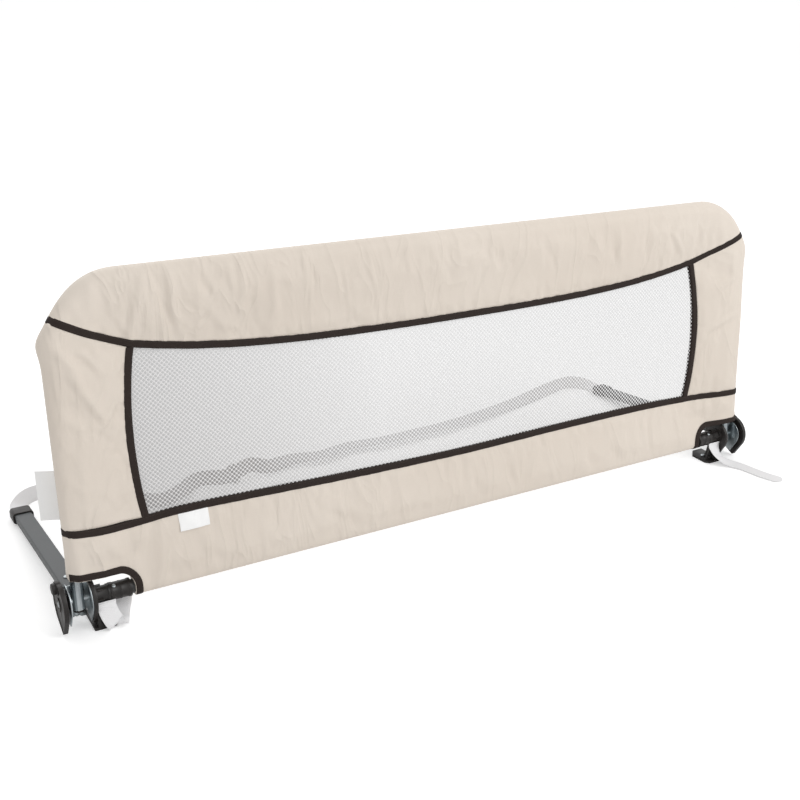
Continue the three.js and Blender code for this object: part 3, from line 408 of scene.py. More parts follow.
def slack(x, z):
    """Share of its swelling that the fabric keeps at a place: none at its edges and cut-outs."""
    from_edge = min(edge_distance(x, z) - tube_depth, z - pivot_height) / slack_run
    from_cutout = max(cutout_reach - slack_run - abs(x), z - cutout_height - slack_run) / slack_run
    return min(max(min(from_edge, from_cutout), 0), 1)


swell_pressure = 2.0
swell_most = 0.004
swell_steps = 12


def swell(piece):
    """Cloth simulation: the pad swells between its seams. Each point keeps its move in depth, up to
    a limit, and less of it where the fabric is drawn tight."""
    start = [vertex.co.copy() for vertex in piece.data.vertices]
    cloth = piece.modifiers.new("swell", "CLOTH")
    settings = cloth.settings
    settings.quality = 4
    settings.mass = 0.2
    settings.tension_stiffness = 18
    settings.compression_stiffness = 8
    settings.shear_stiffness = 6
    settings.bending_stiffness = 0.15
    settings.vertex_group_mass = "sewn"
    settings.use_pressure = True
    settings.uniform_pressure_force = swell_pressure
    settings.shrink_min = -0.02
    settings.effector_weights.gravity = 0
    cloth.collision_settings.use_collision = False
    cloth.point_cache.frame_start = 1
    cloth.point_cache.frame_end = swell_steps
    scene = bpy.context.scene
    for step in range(1, swell_steps + 1):
        scene.frame_set(step)
    only(piece)
    bpy.ops.object.modifier_apply(modifier=cloth.name)
    scene.frame_set(1)
    for vertex, rest in zip(piece.data.vertices, start):
        out = 1 if rest.y > 0 else -1
        move = min(max((vertex.co.y - rest.y) * out, 0), swell_most) * slack(rest.x, rest.z)
        vertex.co = rest + Vector((0, out * move, 0))


def new_effect(name, inputs, outputs):
    """An empty node group, and the sockets that its inputs come from and its outputs go to."""
    group = bpy.data.node_groups.new(name, "ShaderNodeTree")
    for label, kind, value in inputs:
        socket = group.interface.new_socket(label, in_out="INPUT", socket_type="NodeSocket" + kind)
        if value is not None:
            socket.default_value = value
    for label in outputs:
        group.interface.new_socket(label, in_out="OUTPUT", socket_type="NodeSocketFloat")
    given = group.nodes.new("NodeGroupInput").outputs
    return group, given, group.nodes.new("NodeGroupOutput").inputs


def maths(tree, operation, *values):
    """The result of a math node."""
    return add_node(tree, "ShaderNodeMath", dict(enumerate(values)), operation=operation).outputs[0]


def ranged(tree, value, low, high, first=0.0, last=1.0):
    """A value taken from one range to another, and kept inside it."""
    ends = {"Value": value, "From Min": low, "From Max": high, "To Min": first, "To Max": last}
    return add_node(tree, "ShaderNodeMapRange", ends).outputs["Result"]


def mixed(tree, factor, first, second):
    """A colour between two colours."""
    return add_node(tree, "ShaderNodeMix", {0: factor, 6: first, 7: second}, data_type="RGBA").outputs[2]


def bumped(tree, height, strength, distance, normal=None):
    """The surface's normal with a height on it."""
    inputs = {"Height": height, "Strength": strength, "Distance": distance}
    if normal:
        inputs["Normal"] = normal
    return add_node(tree, "ShaderNodeBump", inputs).outputs["Normal"]


def stretched(tree, vector, scale):
    """A vector with each of its parts scaled."""
    return add_node(tree, "ShaderNodeMapping", {"Vector": vector, "Scale": scale}).outputs["Vector"]


def noise_of(tree, vector, scale, detail=2.0, distortion=0.0):
    """Even noise from 0 to 1."""
    inputs = {"Vector": vector, "Scale": scale, "Detail": detail, "Distortion": distortion}
    return add_node(tree, "ShaderNodeTexNoise", inputs).outputs["Fac"]


def parts_of(tree, vector):
    """The X, Y and Z of a vector."""
    return add_node(tree, "ShaderNodeSeparateXYZ", {"Vector": vector}).outputs


def place_on(tree, uv_map):
    """The place on a cloth, in metres, that a UV map gives."""
    return add_node(tree, "ShaderNodeUVMap", uv_map=uv_map).outputs["UV"]


def effect(tree, group, **inputs):
    """The outputs of an effect's node group."""
    return add_node(tree, "ShaderNodeGroup", inputs, node_tree=group).outputs


# Effect: plain weave, with threads a pitch apart, and how each thread differs from the others
weave, given, result = new_effect(
    "weave", (("Vector", "Vector", None), ("Pitch", "Float", 0.0005)), ("Height", "Thread"),
)
turns = maths(weave, "DIVIDE", math.pi, given["Pitch"])
threads = add_node(
    weave, "ShaderNodeVectorMath", {0: given["Vector"], "Scale": turns}, operation="SCALE",
).outputs["Vector"]
parts = parts_of(weave, threads)
over = maths(weave, "MULTIPLY", maths(weave, "SINE", parts["X"]), maths(weave, "SINE", parts["Y"]))
weave.links.new(ranged(weave, over, -1, 1), result["Height"])
warp = noise_of(weave, stretched(weave, threads, (0.31, 0.012, 0)), 1.0)
weft = noise_of(weave, stretched(weave, threads, (0.012, 0.31, 0)), 1.0)
weave.links.new(maths(weave, "MULTIPLY", maths(weave, "ADD", warp, weft), 0.5), result["Thread"])

# Effect: crinkles of a thin cloth, as sharp ridges between flat fields
crinkle, given, result = new_effect(
    "crinkle", (("Vector", "Vector", None), ("Scale", "Float", 30.0)), ("Height",),
)
field = noise_of(crinkle, given["Vector"], given["Scale"], 2.5, 0.8)
ridge = maths(crinkle, "ABSOLUTE", maths(crinkle, "SUBTRACT", field, 0.5))
sharp = maths(crinkle, "POWER", ranged(crinkle, ridge, 0.0, 0.16, 1.0, 0.0), 2.2)
crinkle.links.new(maths(crinkle, "MULTIPLY_ADD", field, 0.6, sharp), result["Height"])

fabric, tree, shader = new_material(
    "beige polyester cover",
    {"Roughness": 0.62, "Specular IOR Level": 0.35, "Sheen Weight": 0.12, "Sheen Roughness": 0.45},
)
place = place_on(tree, "cloth")
threads = effect(tree, weave, Vector=place, Pitch=0.00055)
folds = effect(tree, crinkle, Vector=stretched(tree, place, (1.6, 0.5, 1)), Scale=13.0)["Height"]
drawn = ranged(tree, parts_of(tree, place)["X"], -0.55, 0.1, 0.42, 0.24)
normal = bumped(tree, folds, drawn, 0.0040)
fine = noise_of(tree, stretched(tree, place, (2.2, 0.6, 1)), 45.0)
normal = bumped(tree, fine, 0.12, 0.0014, normal)
normal = bumped(tree, threads["Height"], 0.25, 0.00012, normal)
tree.links.new(normal, shader.inputs["Normal"])
shade = ranged(tree, noise_of(tree, place, 4.0, 3.0), 0.3, 0.7)
colour = mixed(tree, shade, (0.705, 0.628, 0.548, 1), (0.745, 0.672, 0.594, 1))
colour = mixed(tree, ranged(tree, threads["Thread"], 0.3, 0.7, 0, 0.3), colour, (0.64, 0.565, 0.49, 1))
tree.links.new(colour, shader.inputs["Base Color"])

edge_steps = 300
corner_steps = 18
side_steps = 64
corner_tuck = 0.0005
straight = half_length - corner_radius
top_edge = corner_edge(-1, corner_steps)
top_edge += [(-straight + 2 * straight * i / edge_steps, panel_height) for i in range(edge_steps + 1)]
top_edge += reversed(corner_edge(1, corner_steps))
left_end, right_end = (line_end(upper_tape, side, seam_gap) - corner_tuck for side in (-1, 1))
top_seam = []
for i in range(len(top_edge)):
    x = -left_end + (left_end + right_end) * i / (len(top_edge) - 1)
    top_seam.append((x, upper_tape(x) + seam_gap))
bottom_edge = [(-half_length + panel_length * i / edge_steps, 0) for i in range(edge_steps + 1)]
bottom_seam = [(x, lower_tape(x) - seam_gap) for x, z in bottom_edge]
bottom_pad = shell("padded_bottom", bottom_seam, bottom_edge, True)
pads = [shell("padded_top", top_seam, top_edge, False), bottom_pad]
for side, name in both_sides:
    seam = []
    edge = []
    seam_foot = lower_tape(side * tape_corner) + seam_gap
    seam_top = upper_tape(side * tape_corner) - seam_gap
    edge_foot = lower_tape(side * half_length) + seam_gap
    edge_top = upper_tape(side * line_end(upper_tape, side, -seam_gap)) - seam_gap
    for i in range(side_steps + 1):
        z = seam_foot + (seam_top - seam_foot) * i / side_steps
        seam.append((side * (side_tape(side, z) + seam_gap), z))
        z = edge_foot + (edge_top - edge_foot) * i / side_steps
        edge.append((side * outline_reach(z), z))
    pads.append(shell("padded_" + name, seam, edge, True))
for pad in pads:
    swell(pad)

# Cut-outs in the bottom corners of the cover, which leave the hinges free: each has a rounded
# upper corner towards the middle of the rail
cutout_radius = 0.022
cutout_rise = {-1: 0.006, 1: 0.0}
overrun = 0.01
nearly = 0.0001


def cutout_top(side, x):
    """Height of a cut-out's top edge, which rises a little to the side of the panel."""
    start = cutout_reach + cutout_radius
    return cutout_height + cutout_rise[side] * max(x - start, 0) / (half_length - start)


def apply_modifier(piece, kind, **settings):
    """Adds a modifier to a piece and applies it."""
    only(piece)
    modifier = piece.modifiers.new(kind.lower(), kind)
    for key, value in settings.items():
        setattr(modifier, key, value)
    bpy.ops.object.modifier_apply(modifier=modifier.name)


def cut(piece, other, operation="DIFFERENCE"):
    """Cuts another solid from a piece, and removes that solid."""
    apply_modifier(piece, "BOOLEAN", object=other, operation=operation, solver="EXACT")
    bpy.data.objects.remove(other)


def sided(side, near, far):
    """The lower and the higher X of two distances from the middle, on one side of the rail."""
    return sorted((side * near, side * far))


def box(name, side, reach, depths, heights):
    """A box on one side of the rail, from the ends of its reach, its depths and its heights."""
    ends = (sided(side, *reach), depths, heights)
    bpy.ops.object.select_all(action="DESELECT")
    bpy.ops.mesh.primitive_cube_add(size=1, location=[(low + high) / 2 for low, high in ends])
    piece = bpy.context.active_object
    piece.name = name
    piece.scale = [high - low for low, high in ends]
    bpy.ops.object.transform_apply(location=True, rotation=True, scale=True)
    return piece


def round_long_edges(piece, radius, segments, chosen=lambda middle: True):
    """Rounds the edges of a piece that run front to back and whose middle is chosen."""
    edit(piece)
    bpy.ops.object.mode_set(mode="OBJECT")
    points = piece.data.vertices
    for line in piece.data.edges:
        a, b = (points[i].co for i in line.vertices)
        line.select = abs((b - a).normalized().y) > 0.99 and chosen((a + b) / 2)
    bpy.ops.object.mode_set(mode="EDIT")
    bpy.ops.mesh.select_mode(type="EDGE")
    bpy.ops.mesh.bevel(offset=radius, segments=segments, affect="EDGES")
    bpy.ops.object.mode_set(mode="OBJECT")


for side in (-1, 1):
    cutter = box(
        "cutter", side, (cutout_reach, half_length + overrun), (-overrun * 3, overrun * 3),
        (-overrun, cutout_height),
    )
    round_long_edges(
        cutter, cutout_radius, 10, lambda middle: middle.z > 0 and abs(middle.x) < half_length,
    )
    for vertex in cutter.data.vertices:
        if vertex.co.z > cutout_height - nearly:
            vertex.co.z = cutout_top(side, abs(vertex.co.x))
    cut(bottom_pad, cutter)
for pad in pads:
    smooth(pad)
    finish_piece(pad, fabric, "panel", "fabric", pad.name.replace("padded", "cover"))

# Binding: dark brown woven tape, folded over the raw edges and sewn down. It runs right round
# the panel above and below the window, up both of its sides, and round the cut-outs.
tape_proud = 0.0011
tape_waver = 0.0002
tape_profile = ((0.0, 0.2), (0.08, 0.8), (0.3, 1.0), (0.5, 0.94), (0.7, 1.0), (0.92, 0.8), (1.0, 0.2))


def band_faces(rings, count):
    """The faces of a band whose points are numbered ring by ring, with its two ends closed."""
    last = (rings - 1) * count
    faces = [tuple(range(count)), tuple(reversed(range(last, last + count)))]
    for r in range(rings - 1):
        for i in range(count):
            a = r * count + i
            b = r * count + (i + 1) % count
            faces.append((a, a + count, b + count, b))
    return faces


# Effect: two rows of machine stitches, each a distance from a middle line that runs along X
stitches, given, result = new_effect(
    "stitches",
    (("Vector", "Vector", None), ("Middle", "Float", 0.0), ("Row", "Float", 0.003),
     ("Pitch", "Float", 0.003), ("Thread", "Float", 0.0003)),
    ("Mask",),
)
parts = parts_of(stitches, given["Vector"])
step = maths(stitches, "FRACT", maths(stitches, "DIVIDE", parts["X"], given["Pitch"]))
along = maths(stitches, "ABSOLUTE", maths(stitches, "SUBTRACT", step, 0.5))
across = maths(stitches, "ABSOLUTE", maths(stitches, "SUBTRACT", parts["Y"], given["Middle"]))
aside = maths(stitches, "ABSOLUTE", maths(stitches, "SUBTRACT", across, given["Row"]))
aside = ranged(stitches, maths(stitches, "DIVIDE", aside, given["Thread"]), 0.6, 1.0, 1, 0)
thread = maths(stitches, "MULTIPLY", ranged(stitches, along, 0.30, 0.40, 1, 0), aside)
stitches.links.new(thread, result["Mask"])

tape, tree, shader = new_material(
    "dark brown binding tape", {"Roughness": 0.75, "Specular IOR Level": 0.22},
)
place = place_on(tree, "tape")
threads = effect(tree, weave, Vector=place, Pitch=0.0008)
rows = effect(
    tree, stitches, Vector=place, Middle=tape_width / 2, Row=tape_width * 0.33, Pitch=0.0032,
)["Mask"]
colour = mixed(tree, threads["Thread"], (0.016, 0.0105, 0.0085, 1), (0.034, 0.0235, 0.0195, 1))
tree.links.new(mixed(tree, rows, colour, (0.048, 0.036, 0.031, 1)), shader.inputs["Base Color"])
normal = bumped(tree, threads["Height"], 0.6, 0.00025)
tree.links.new(bumped(tree, rows, 0.8, 0.0004, normal), shader.inputs["Normal"])


def binding(name, near, far, bulge=0.0):
    """A closed band between two matched lines of points (x, z), on both faces of the panel."""
    points = []
    lengths = [0.0]
    for (x0, z0), (x1, z1) in zip(near, far):
        faces = {-1: [], 1: []}
        for share, height in tape_profile:
            x = x0 + (x1 - x0) * share
            z = z0 + (z1 - z0) * share
            waver = tape_waver * noise.noise(Vector((x * 60, z * 60, 1.3)))
            for face, row in faces.items():
                lift = max(drags(x, z, face), 0) + tape_proud * height + waver + bulge
                row.append((drawn_in(x, z), face * (half_depth(x, z) + lift), z))
        points += faces[-1] + faces[1][::-1]
    for a, b in zip(near, near[1:]):
        lengths.append(lengths[-1] + math.dist(a, b))
    count = 2 * len(tape_profile)

    def place(i):
        ring, spot = divmod(i, count)
        across = min(spot, count - 1 - spot)
        return lengths[ring], tape_profile[across][0] * tape_width

    piece = mesh_piece(name, points, band_faces(len(near), count), "tape", place)
    face_outwards(piece)
    smooth(piece, 50)
    finish_piece(piece, tape, "panel", "tape", name.replace("tape", "binding"))


band_steps = 240
side_band_steps = 48
cutout_steps = 12
half_tape = tape_width / 2
side_band_tuck = half_tape * 0.8
hem_width = 0.0092
hem_bulge = 0.0006
hem_tops = (half_length - 0.0005, 0.59, 0.575, 0.555)
hem_ends = (0.010, 0.006, 0.003, 0.0012, 0.0003)


def level_line(line, shift):
    """Points of a line across the panel, shifted up, and ending at the panel's outline."""
    left, right = (line_end(line, side, shift) for side in (-1, 1))
    across = [-left + (left + right) * i / band_steps for i in range(band_steps + 1)]
    return [(x, line(x) + shift) for x in across]


for name, line in (("upper", upper_tape), ("lower", lower_tape)):
    binding("tape_" + name, level_line(line, -half_tape), level_line(line, half_tape))
for side, name in both_sides:
    low = lower_tape(side * tape_corner) + side_band_tuck
    high = upper_tape(side * tape_corner) - side_band_tuck
    heights = [low + (high - low) * i / side_band_steps for i in range(side_band_steps + 1)]
    near = [(side * (side_tape(side, z) - half_tape), z) for z in heights]
    far = [(side * (side_tape(side, z) + half_tape), z) for z in heights]
    binding("tape_side_" + name, near, far)

    near = [(side * x, cutout_top(side, x)) for x in hem_tops]
    far = [(x, z + hem_width) for x, z in near]
    middle = (cutout_reach + cutout_radius, cutout_height - cutout_radius)
    for i in range(cutout_steps + 1):
        turn = math.pi / 2 + math.pi / 2 * i / cutout_steps
        for line, radius in ((near, cutout_radius), (far, cutout_radius + hem_width)):
            line.append((side * (middle[0] + radius * math.cos(turn)), middle[1] + radius * math.sin(turn)))
    near += [(side * cutout_reach, z) for z in hem_ends]
    far += [(side * (cutout_reach - hem_width), z) for z in hem_ends]
    binding("tape_cutout_" + name, near, far, hem_bulge)

# Window: white warp-knitted netting, one layer, stretched between the tapes and sewn under them
net_tuck = 0.002
net_columns = 181
net_rows = 57
net_slack = 0.0012
net_points = []
for r in range(net_rows):
    for c in range(net_columns):
        share = 2 * c / (net_columns - 1) - 1
        low = lower_tape(share * tape_corner) + net_tuck
        high = upper_tape(share * tape_corner) - net_tuck
        z = low + (high - low) * (r / (net_rows - 1))
        x = share * (side_tape(-1 if share < 0 else 1, z) - net_tuck)
        net_points.append((x, net_slack * noise.noise(Vector((x * 6, z * 9, 0.7))), z))
net_piece = mesh_piece(
    "net_window", net_points, grid_faces(net_rows, net_columns), "net",
    lambda i: (net_points[i][0], net_points[i][2]),
)
smooth(net_piece)

net, tree, shader = new_material("white window netting", {"Roughness": 0.85, "Specular IOR Level": 0.2})
net_pitch = 0.0045
hole_share = 0.43
hole_edge = 0.05
shaded_from = -0.50
shaded_to = -0.12
place = place_on(tree, "net")
turned = add_node(
    tree, "ShaderNodeMapping",
    {"Vector": place, "Rotation": (0, 0, math.pi / 4), "Scale": (1 / net_pitch,) * 3},
).outputs["Vector"]
parts = parts_of(tree, turned)
offsets = {a: maths(tree, "SUBTRACT", maths(tree, "FRACT", parts[a]), 0.5) for a in ("X", "Y")}
flat = add_node(tree, "ShaderNodeCombineXYZ", offsets)
away = add_node(tree, "ShaderNodeVectorMath", {0: flat.outputs[0]}, operation="LENGTH").outputs["Value"]
strand = ranged(tree, away, hole_share - hole_edge, hole_share + hole_edge)
normal = bumped(tree, ranged(tree, away, hole_share, 0.7), 0.7, 0.0006)
tree.links.new(normal, shader.inputs["Normal"])
across = parts_of(tree, place)["X"]
# Painted shade: the strands are painted grey at the left end of the window, fading to white towards its
# middle.
lit = ranged(tree, across, shaded_from, shaded_to)
white = mixed(tree, lit, (0.74, 0.725, 0.72, 1), (0.92, 0.915, 0.915, 1))
uneven = ranged(tree, noise_of(tree, turned, 2.4), 0.35, 0.75, 0, 0.15)
white = mixed(tree, uneven, white, (0.92, 0.92, 0.92, 1))
# Painted shade: the holes between the strands are painted dark grey, and their alpha makes a veil, thicker
# at the left, that darkens what shows through the window.
tree.links.new(mixed(tree, strand, (0.10, 0.097, 0.097, 1), white), shader.inputs["Base Color"])
painted_shade_veil = ranged(tree, across, shaded_from, shaded_to, 0.66, 0.44)
tree.links.new(maths(tree, "MAXIMUM", strand, painted_shade_veil), shader.inputs["Alpha"])
finish_piece(net_piece, net, "panel", "net", "mesh_window")

# Hinge brackets: bent and zinc-plated steel, one at each end. Two side plates take the pivot bolt,
# a web behind the upright joins them, and a tongue runs back into the leg.
hinge_centre = half_length - tube_depth
leg_width = 0.025
leg_near = hinge_centre - leg_width / 2
leg_far = hinge_centre + leg_width / 2
gap = 0.0003
plate = 0.0015
plate_inner = leg_near - gap
plate_outer = leg_far + gap
web_setback = 0.0185
leg_height = 0.013
leg_middle = 0.017


def cylinder(name, start, end, radius, sides=48):
    """A cylinder between the centres of its two ends."""
    start = Vector(start)
    end = Vector(end)
    bpy.ops.object.select_all(action="DESELECT")
    bpy.ops.mesh.primitive_cylinder_add(vertices=sides, radius=radius, depth=(end - start).length)
    piece = bpy.context.active_object
    piece.name = name
    turn = (end - start).to_track_quat("Z", "Y").to_matrix().to_4x4()
    piece.data.transform(Matrix.Translation((start + end) / 2) @ turn)
    return piece


def join(pieces):
    """Joins pieces into the first one."""
    bpy.ops.object.select_all(action="DESELECT")
    for piece in pieces:
        piece.select_set(True)
    bpy.context.view_layer.objects.active = pieces[0]
    bpy.ops.object.join()
    return pieces[0]


def wrap(name, pieces):
    """The tight skin round some solids, with its flat faces whole."""
    piece = join(pieces)
    piece.name = name
    edit(piece)
    bpy.ops.mesh.select_all(action="SELECT")
    bpy.ops.mesh.convex_hull()
    bpy.ops.mesh.select_all(action="SELECT")
    bpy.ops.mesh.remove_doubles(threshold=merge_distance)
    bpy.ops.mesh.dissolve_limited(angle_limit=math.radians(1.5))
    bpy.ops.mesh.normals_make_consistent(inside=False)
    bpy.ops.object.mode_set(mode="OBJECT")
    return piece


def hinge_plate(name, side, reach, radius, back, drop, tip=0.0025):
    """Side view of the hinge: round in front, a tip below, a straight back."""
    x0, x1 = sided(side, *reach)
    low_back = pivot_height - 0.62 * drop
    high_back = pivot_height + 0.6 * radius
    discs = (
        (0, pivot_height, radius),
        (-0.2 * radius, pivot_height - drop + tip, tip),
        (back - tip, low_back + tip, tip),
        (back - tip, high_back - tip, tip),
    )
    return wrap(name, [cylinder(name, (x0, y, z), (x1, y, z), r, 64) for y, z, r in discs])


def soften(piece, width, segments=3):
    """Rounds the sharp edges of a piece and shades it smooth between them."""
    apply_modifier(
        piece, "BEVEL", width=width, segments=segments, limit_method="ANGLE",
        angle_limit=math.radians(35),
    )
    smooth(piece, 30)


# Effect: the fine grain of a moulded or coated surface, and its slow mottling
grain, given, result = new_effect(
    "grain", (("Vector", "Vector", None), ("Scale", "Float", 900.0)), ("Height", "Mottle"),
)
grain.links.new(noise_of(grain, given["Vector"], given["Scale"]), result["Height"])
slow = maths(grain, "MULTIPLY", given["Scale"], 0.045)
grain.links.new(noise_of(grain, given["Vector"], slow, 3.0, 0.4), result["Mottle"])

# Effect: wear, which shows along edges and in patches
wear, given, result = new_effect(
    "wear", (("Vector", "Vector", None), ("Radius", "Float", 0.001)), ("Mask",),
)
rounded = add_node(wear, "ShaderNodeBevel", {"Radius": given["Radius"]}, samples=4).outputs["Normal"]
face = add_node(wear, "ShaderNodeNewGeometry").outputs["Normal"]
turned = add_node(wear, "ShaderNodeVectorMath", {0: rounded, 1: face}, operation="DOT_PRODUCT")
edges = ranged(wear, turned.outputs["Value"], 0.985, 0.86)
patches = ranged(wear, noise_of(wear, given["Vector"], 190.0, 4.0), 0.42, 0.62)
wear.links.new(maths(wear, "MULTIPLY", edges, patches), result["Mask"])
wear_radius = 0.0009


def surface(name, scale, colours, roughness, bump, stretch=(1, 1, 1), uniform=()):
    """A hard material with grain, mottling and worn edges, from its two colours and its worn one."""
    material, tree, shader = new_material(name, uniform)
    place = stretched(tree, add_node(tree, "ShaderNodeTexCoord").outputs["Object"], stretch)
    texture = effect(tree, grain, Vector=place, Scale=scale)
    worn = effect(tree, wear, Vector=place, Radius=wear_radius)["Mask"]
    colour = mixed(tree, ranged(tree, texture["Mottle"], 0.35, 0.65), colours[0], colours[1])
    tree.links.new(mixed(tree, worn, colour, colours[2]), shader.inputs["Base Color"])
    tree.links.new(ranged(tree, texture["Mottle"], 0.3, 0.7, *roughness), shader.inputs["Roughness"])
    tree.links.new(bumped(tree, texture["Height"], 0.5, bump), shader.inputs["Normal"])
    return material


zinc = surface(
    "bright zinc plate", 500.0,
    ((0.30, 0.33, 0.345, 1), (0.60, 0.645, 0.66, 1), (0.80, 0.83, 0.84, 1)),
    (0.24, 0.42), 0.00004, (1, 0.25, 1), {"Metallic": 1.0},
)
black_plastic = surface(
    "black moulded plastic", 1500.0,
    ((0.0105, 0.0086, 0.0078, 1), (0.018, 0.0148, 0.0135, 1), (0.055, 0.048, 0.044, 1)),
    (0.36, 0.50), 0.00006, uniform={"Specular IOR Level": 0.4},
)


def finish_moulding(piece, node, body="base"):
    """Finishes a piece of black plastic."""
    finish_piece(piece, black_plastic, body, "black_plastic", node)


bracket_radius = 0.0235
bracket_drop = 0.032
hinge_back = 0.020
hinge_drop = 0.035
web_heights = (-0.02125, 0.0255)
arch_middle = -0.0272
arch_radius = 0.0085
arch_end = 0.04
tongue_length = 0.062
tongue_half_width = 0.0095
tongue_half_height = 0.0035
for side, name in both_sides:
    sheets = [
        hinge_plate(
            "bracket_" + name, side, (x, x + plate), bracket_radius, hinge_back, bracket_drop,
        )
        for x in (plate_inner - plate, plate_outer)
    ]
    web = box(
        "web", side, (plate_inner - plate / 2, plate_outer + plate / 2),
        (web_setback, web_setback + plate), web_heights,
    )
    middle = side * hinge_centre
    cut(web, cylinder("arch", (middle, 0, arch_middle), (middle, arch_end, arch_middle), arch_radius, 40))
    tongue = box(
        "tongue", side, (hinge_centre - tongue_half_width, hinge_centre + tongue_half_width),
        (web_setback + plate / 2, hinge_back + tongue_length),
        (leg_middle - tongue_half_height, leg_middle + tongue_half_height),
    )
    piece = join([*sheets, web, tongue])
    soften(piece, 0.0003, 2)
    finish_piece(piece, zinc, "base", "zinc", "hinge_bracket_" + name)

# Outer covers: deep black mouldings that close the hinge at the ends of the rail, with a sunk
# panel, a collar round the release button and a seat for the head of the pivot bolt
cover_inner = half_length + gap
cover_outer = cover_inner + 0.006
cover_radius = 0.030
cover_back = 0.021
cover_drop = 0.040
cover_rim = 0.0024
cover_sink = 0.0009
button_height = 0.034
button_setback = 0.002
button_radius = 0.0075
button_play = 0.0005
collar_wall = 0.0022
collar_proud = 0.0008
boss_radius = 0.0094
boss_proud = 0.0004
seat_radius = 0.0057
seat_depth = 0.0022
notch_feet = (0.001, -0.0055)
notch_height = 0.0022
notch_depths = (0.0185, 0.024)
margin = 0.001


def add(piece, other):
    """Melts another solid into a piece."""
    cut(piece, other, "UNION")


def axle(name, side, near, far, radius, sides=48, y=0, z=pivot_height):
    """A cylinder that runs across the rail, between two distances from its middle."""
    return cylinder(name, (side * near, y, z), (side * far, y, z), radius, sides)


for side, name in both_sides:
    piece = hinge_plate(
        "end_cover_" + name, side, (cover_inner, cover_outer), cover_radius, cover_back, cover_drop,
    )
    cut(piece, hinge_plate(
        "sunk", side, (cover_outer - cover_sink, cover_outer + margin), cover_radius - cover_rim,
        cover_back - cover_rim, cover_drop - cover_rim,
    ))
    at_button = {"y": button_setback, "z": button_height}
    add(piece, axle(
        "collar", side, cover_inner + margin, cover_outer + collar_proud, button_radius + collar_wall,
        **at_button,
    ))
    add(piece, axle("boss", side, plate_outer + plate + gap, cover_outer + boss_proud, boss_radius))
    cut(piece, axle(
        "hole", side, cover_inner - overrun, cover_outer + overrun, button_radius + button_play,
        **at_button,
    ))
    cut(piece, axle("seat", side, cover_outer - seat_depth, cover_outer + overrun, seat_radius))
    for z in notch_feet:
        reach = (cover_inner - margin, cover_outer + margin)
        cut(piece, box("notch", side, reach, notch_depths, (z, z + notch_height)))
    soften(piece, 0.0005)
    finish_moulding(piece, "outer_cover_" + name)

# Inner covers: the same moulding on the other side of each hinge, with a ribbed socket that takes
# the end of the cross tube
inner_cover_radius = 0.025
inner_cover_outer = plate_inner - plate - gap
inner_cover_inner = inner_cover_outer - 0.005
socket_inner = inner_cover_inner - 0.0205
socket_radius = 0.011
socket_bore = 0.00995
socket_base = inner_cover_inner + gap
socket_rings = (
    (socket_inner, socket_base, socket_radius),
    (socket_inner, socket_inner + 0.003, socket_radius + 0.0009),
    (inner_cover_inner - 0.0022, socket_base, socket_radius + 0.003),
)
ribs_round = 6
first_rib = 0.3
rib_half = 0.0008
rib_length = 0.011
rib_reach = 0.0135
for side, name in both_sides:
    piece = hinge_plate(
        "inner_moulding_" + name, side, (inner_cover_inner, inner_cover_outer), inner_cover_radius,
        hinge_back, hinge_drop,
    )
    for start, end, radius in socket_rings:
        add(piece, axle("ring", side, start, end, radius))
    for turn in range(ribs_round):
        angle = math.pi / 3 * turn + first_rib
        reach = (inner_cover_inner - rib_length, socket_base)
        rib = box("rib", 1, reach, (-rib_half, rib_half), (0, rib_reach))
        rib.data.transform(Matrix.Rotation(angle, 4, "X"))
        rib.data.transform(Matrix.Translation((0, 0, pivot_height)))
        if side < 0:
            rib.data.transform(Matrix.Rotation(math.pi, 4, "Z"))
        add(piece, rib)
    cut(piece, axle("hole", side, socket_inner - overrun, socket_base, socket_bore))
    soften(piece, 0.0005, 2)
    finish_moulding(piece, "inner_cover_" + name)

# Sleeves on the cross tube, moulded with a rounded rim at each end, and held by a rivet
sleeve_length = 0.028
sleeve_radius = 0.0118
sleeve_bore = 0.0098
sleeve_rings = ((0, 0.0035, 0.0124), (0.0235, sleeve_length, 0.0124), (0.013, 0.0145, 0.0121))
sleeve_outer = socket_inner - gap
sleeve_inner = sleeve_outer - sleeve_length
for side, name in both_sides:
    piece = axle("sleeve_" + name, side, sleeve_inner, sleeve_outer, sleeve_radius, 64)
    for start, end, radius in sleeve_rings:
        add(piece, axle("ring", side, sleeve_inner + start, sleeve_inner + end, radius, 64))
    cut(piece, axle("bore", side, sleeve_inner - overrun, sleeve_outer + overrun, sleeve_bore, 64))
    soften(piece, 0.0005, 2)
    finish_moulding(piece, "tube_sleeve_" + name)

# Release buttons: domed black push buttons with a grooved rim, one through each outer cover
button_start = cover_outer - 0.0017
button_end = cover_outer + 0.0065
dome_step = 0.0003
dome_insets = (0.0018, 0.0022)


def step_in(piece, chosen, insets, shift):
    """Insets the faces whose normal is chosen, and shifts them after each inset."""
    edit(piece)
    bpy.ops.object.mode_set(mode="OBJECT")
    for face in piece.data.polygons:
        face.select = chosen(face.normal)
    bpy.ops.object.mode_set(mode="EDIT")
    bpy.ops.mesh.select_mode(type="FACE")
    for width in insets:
        bpy.ops.mesh.inset(thickness=width)
        bpy.ops.transform.translate(value=shift)
    bpy.ops.object.mode_set(mode="OBJECT")


for side, name in both_sides:
    piece = axle(
        "push_button_" + name, side, button_start, button_end - 2 * dome_step, button_radius, 64,
        button_setback, button_height,
    )
    step_in(piece, lambda normal: normal.x * side > 0.9, dome_insets, (side * dome_step, 0, 0))
    soften(piece, 0.0012, 4)
    finish_moulding(piece, "release_button_" + name, "button_" + name)

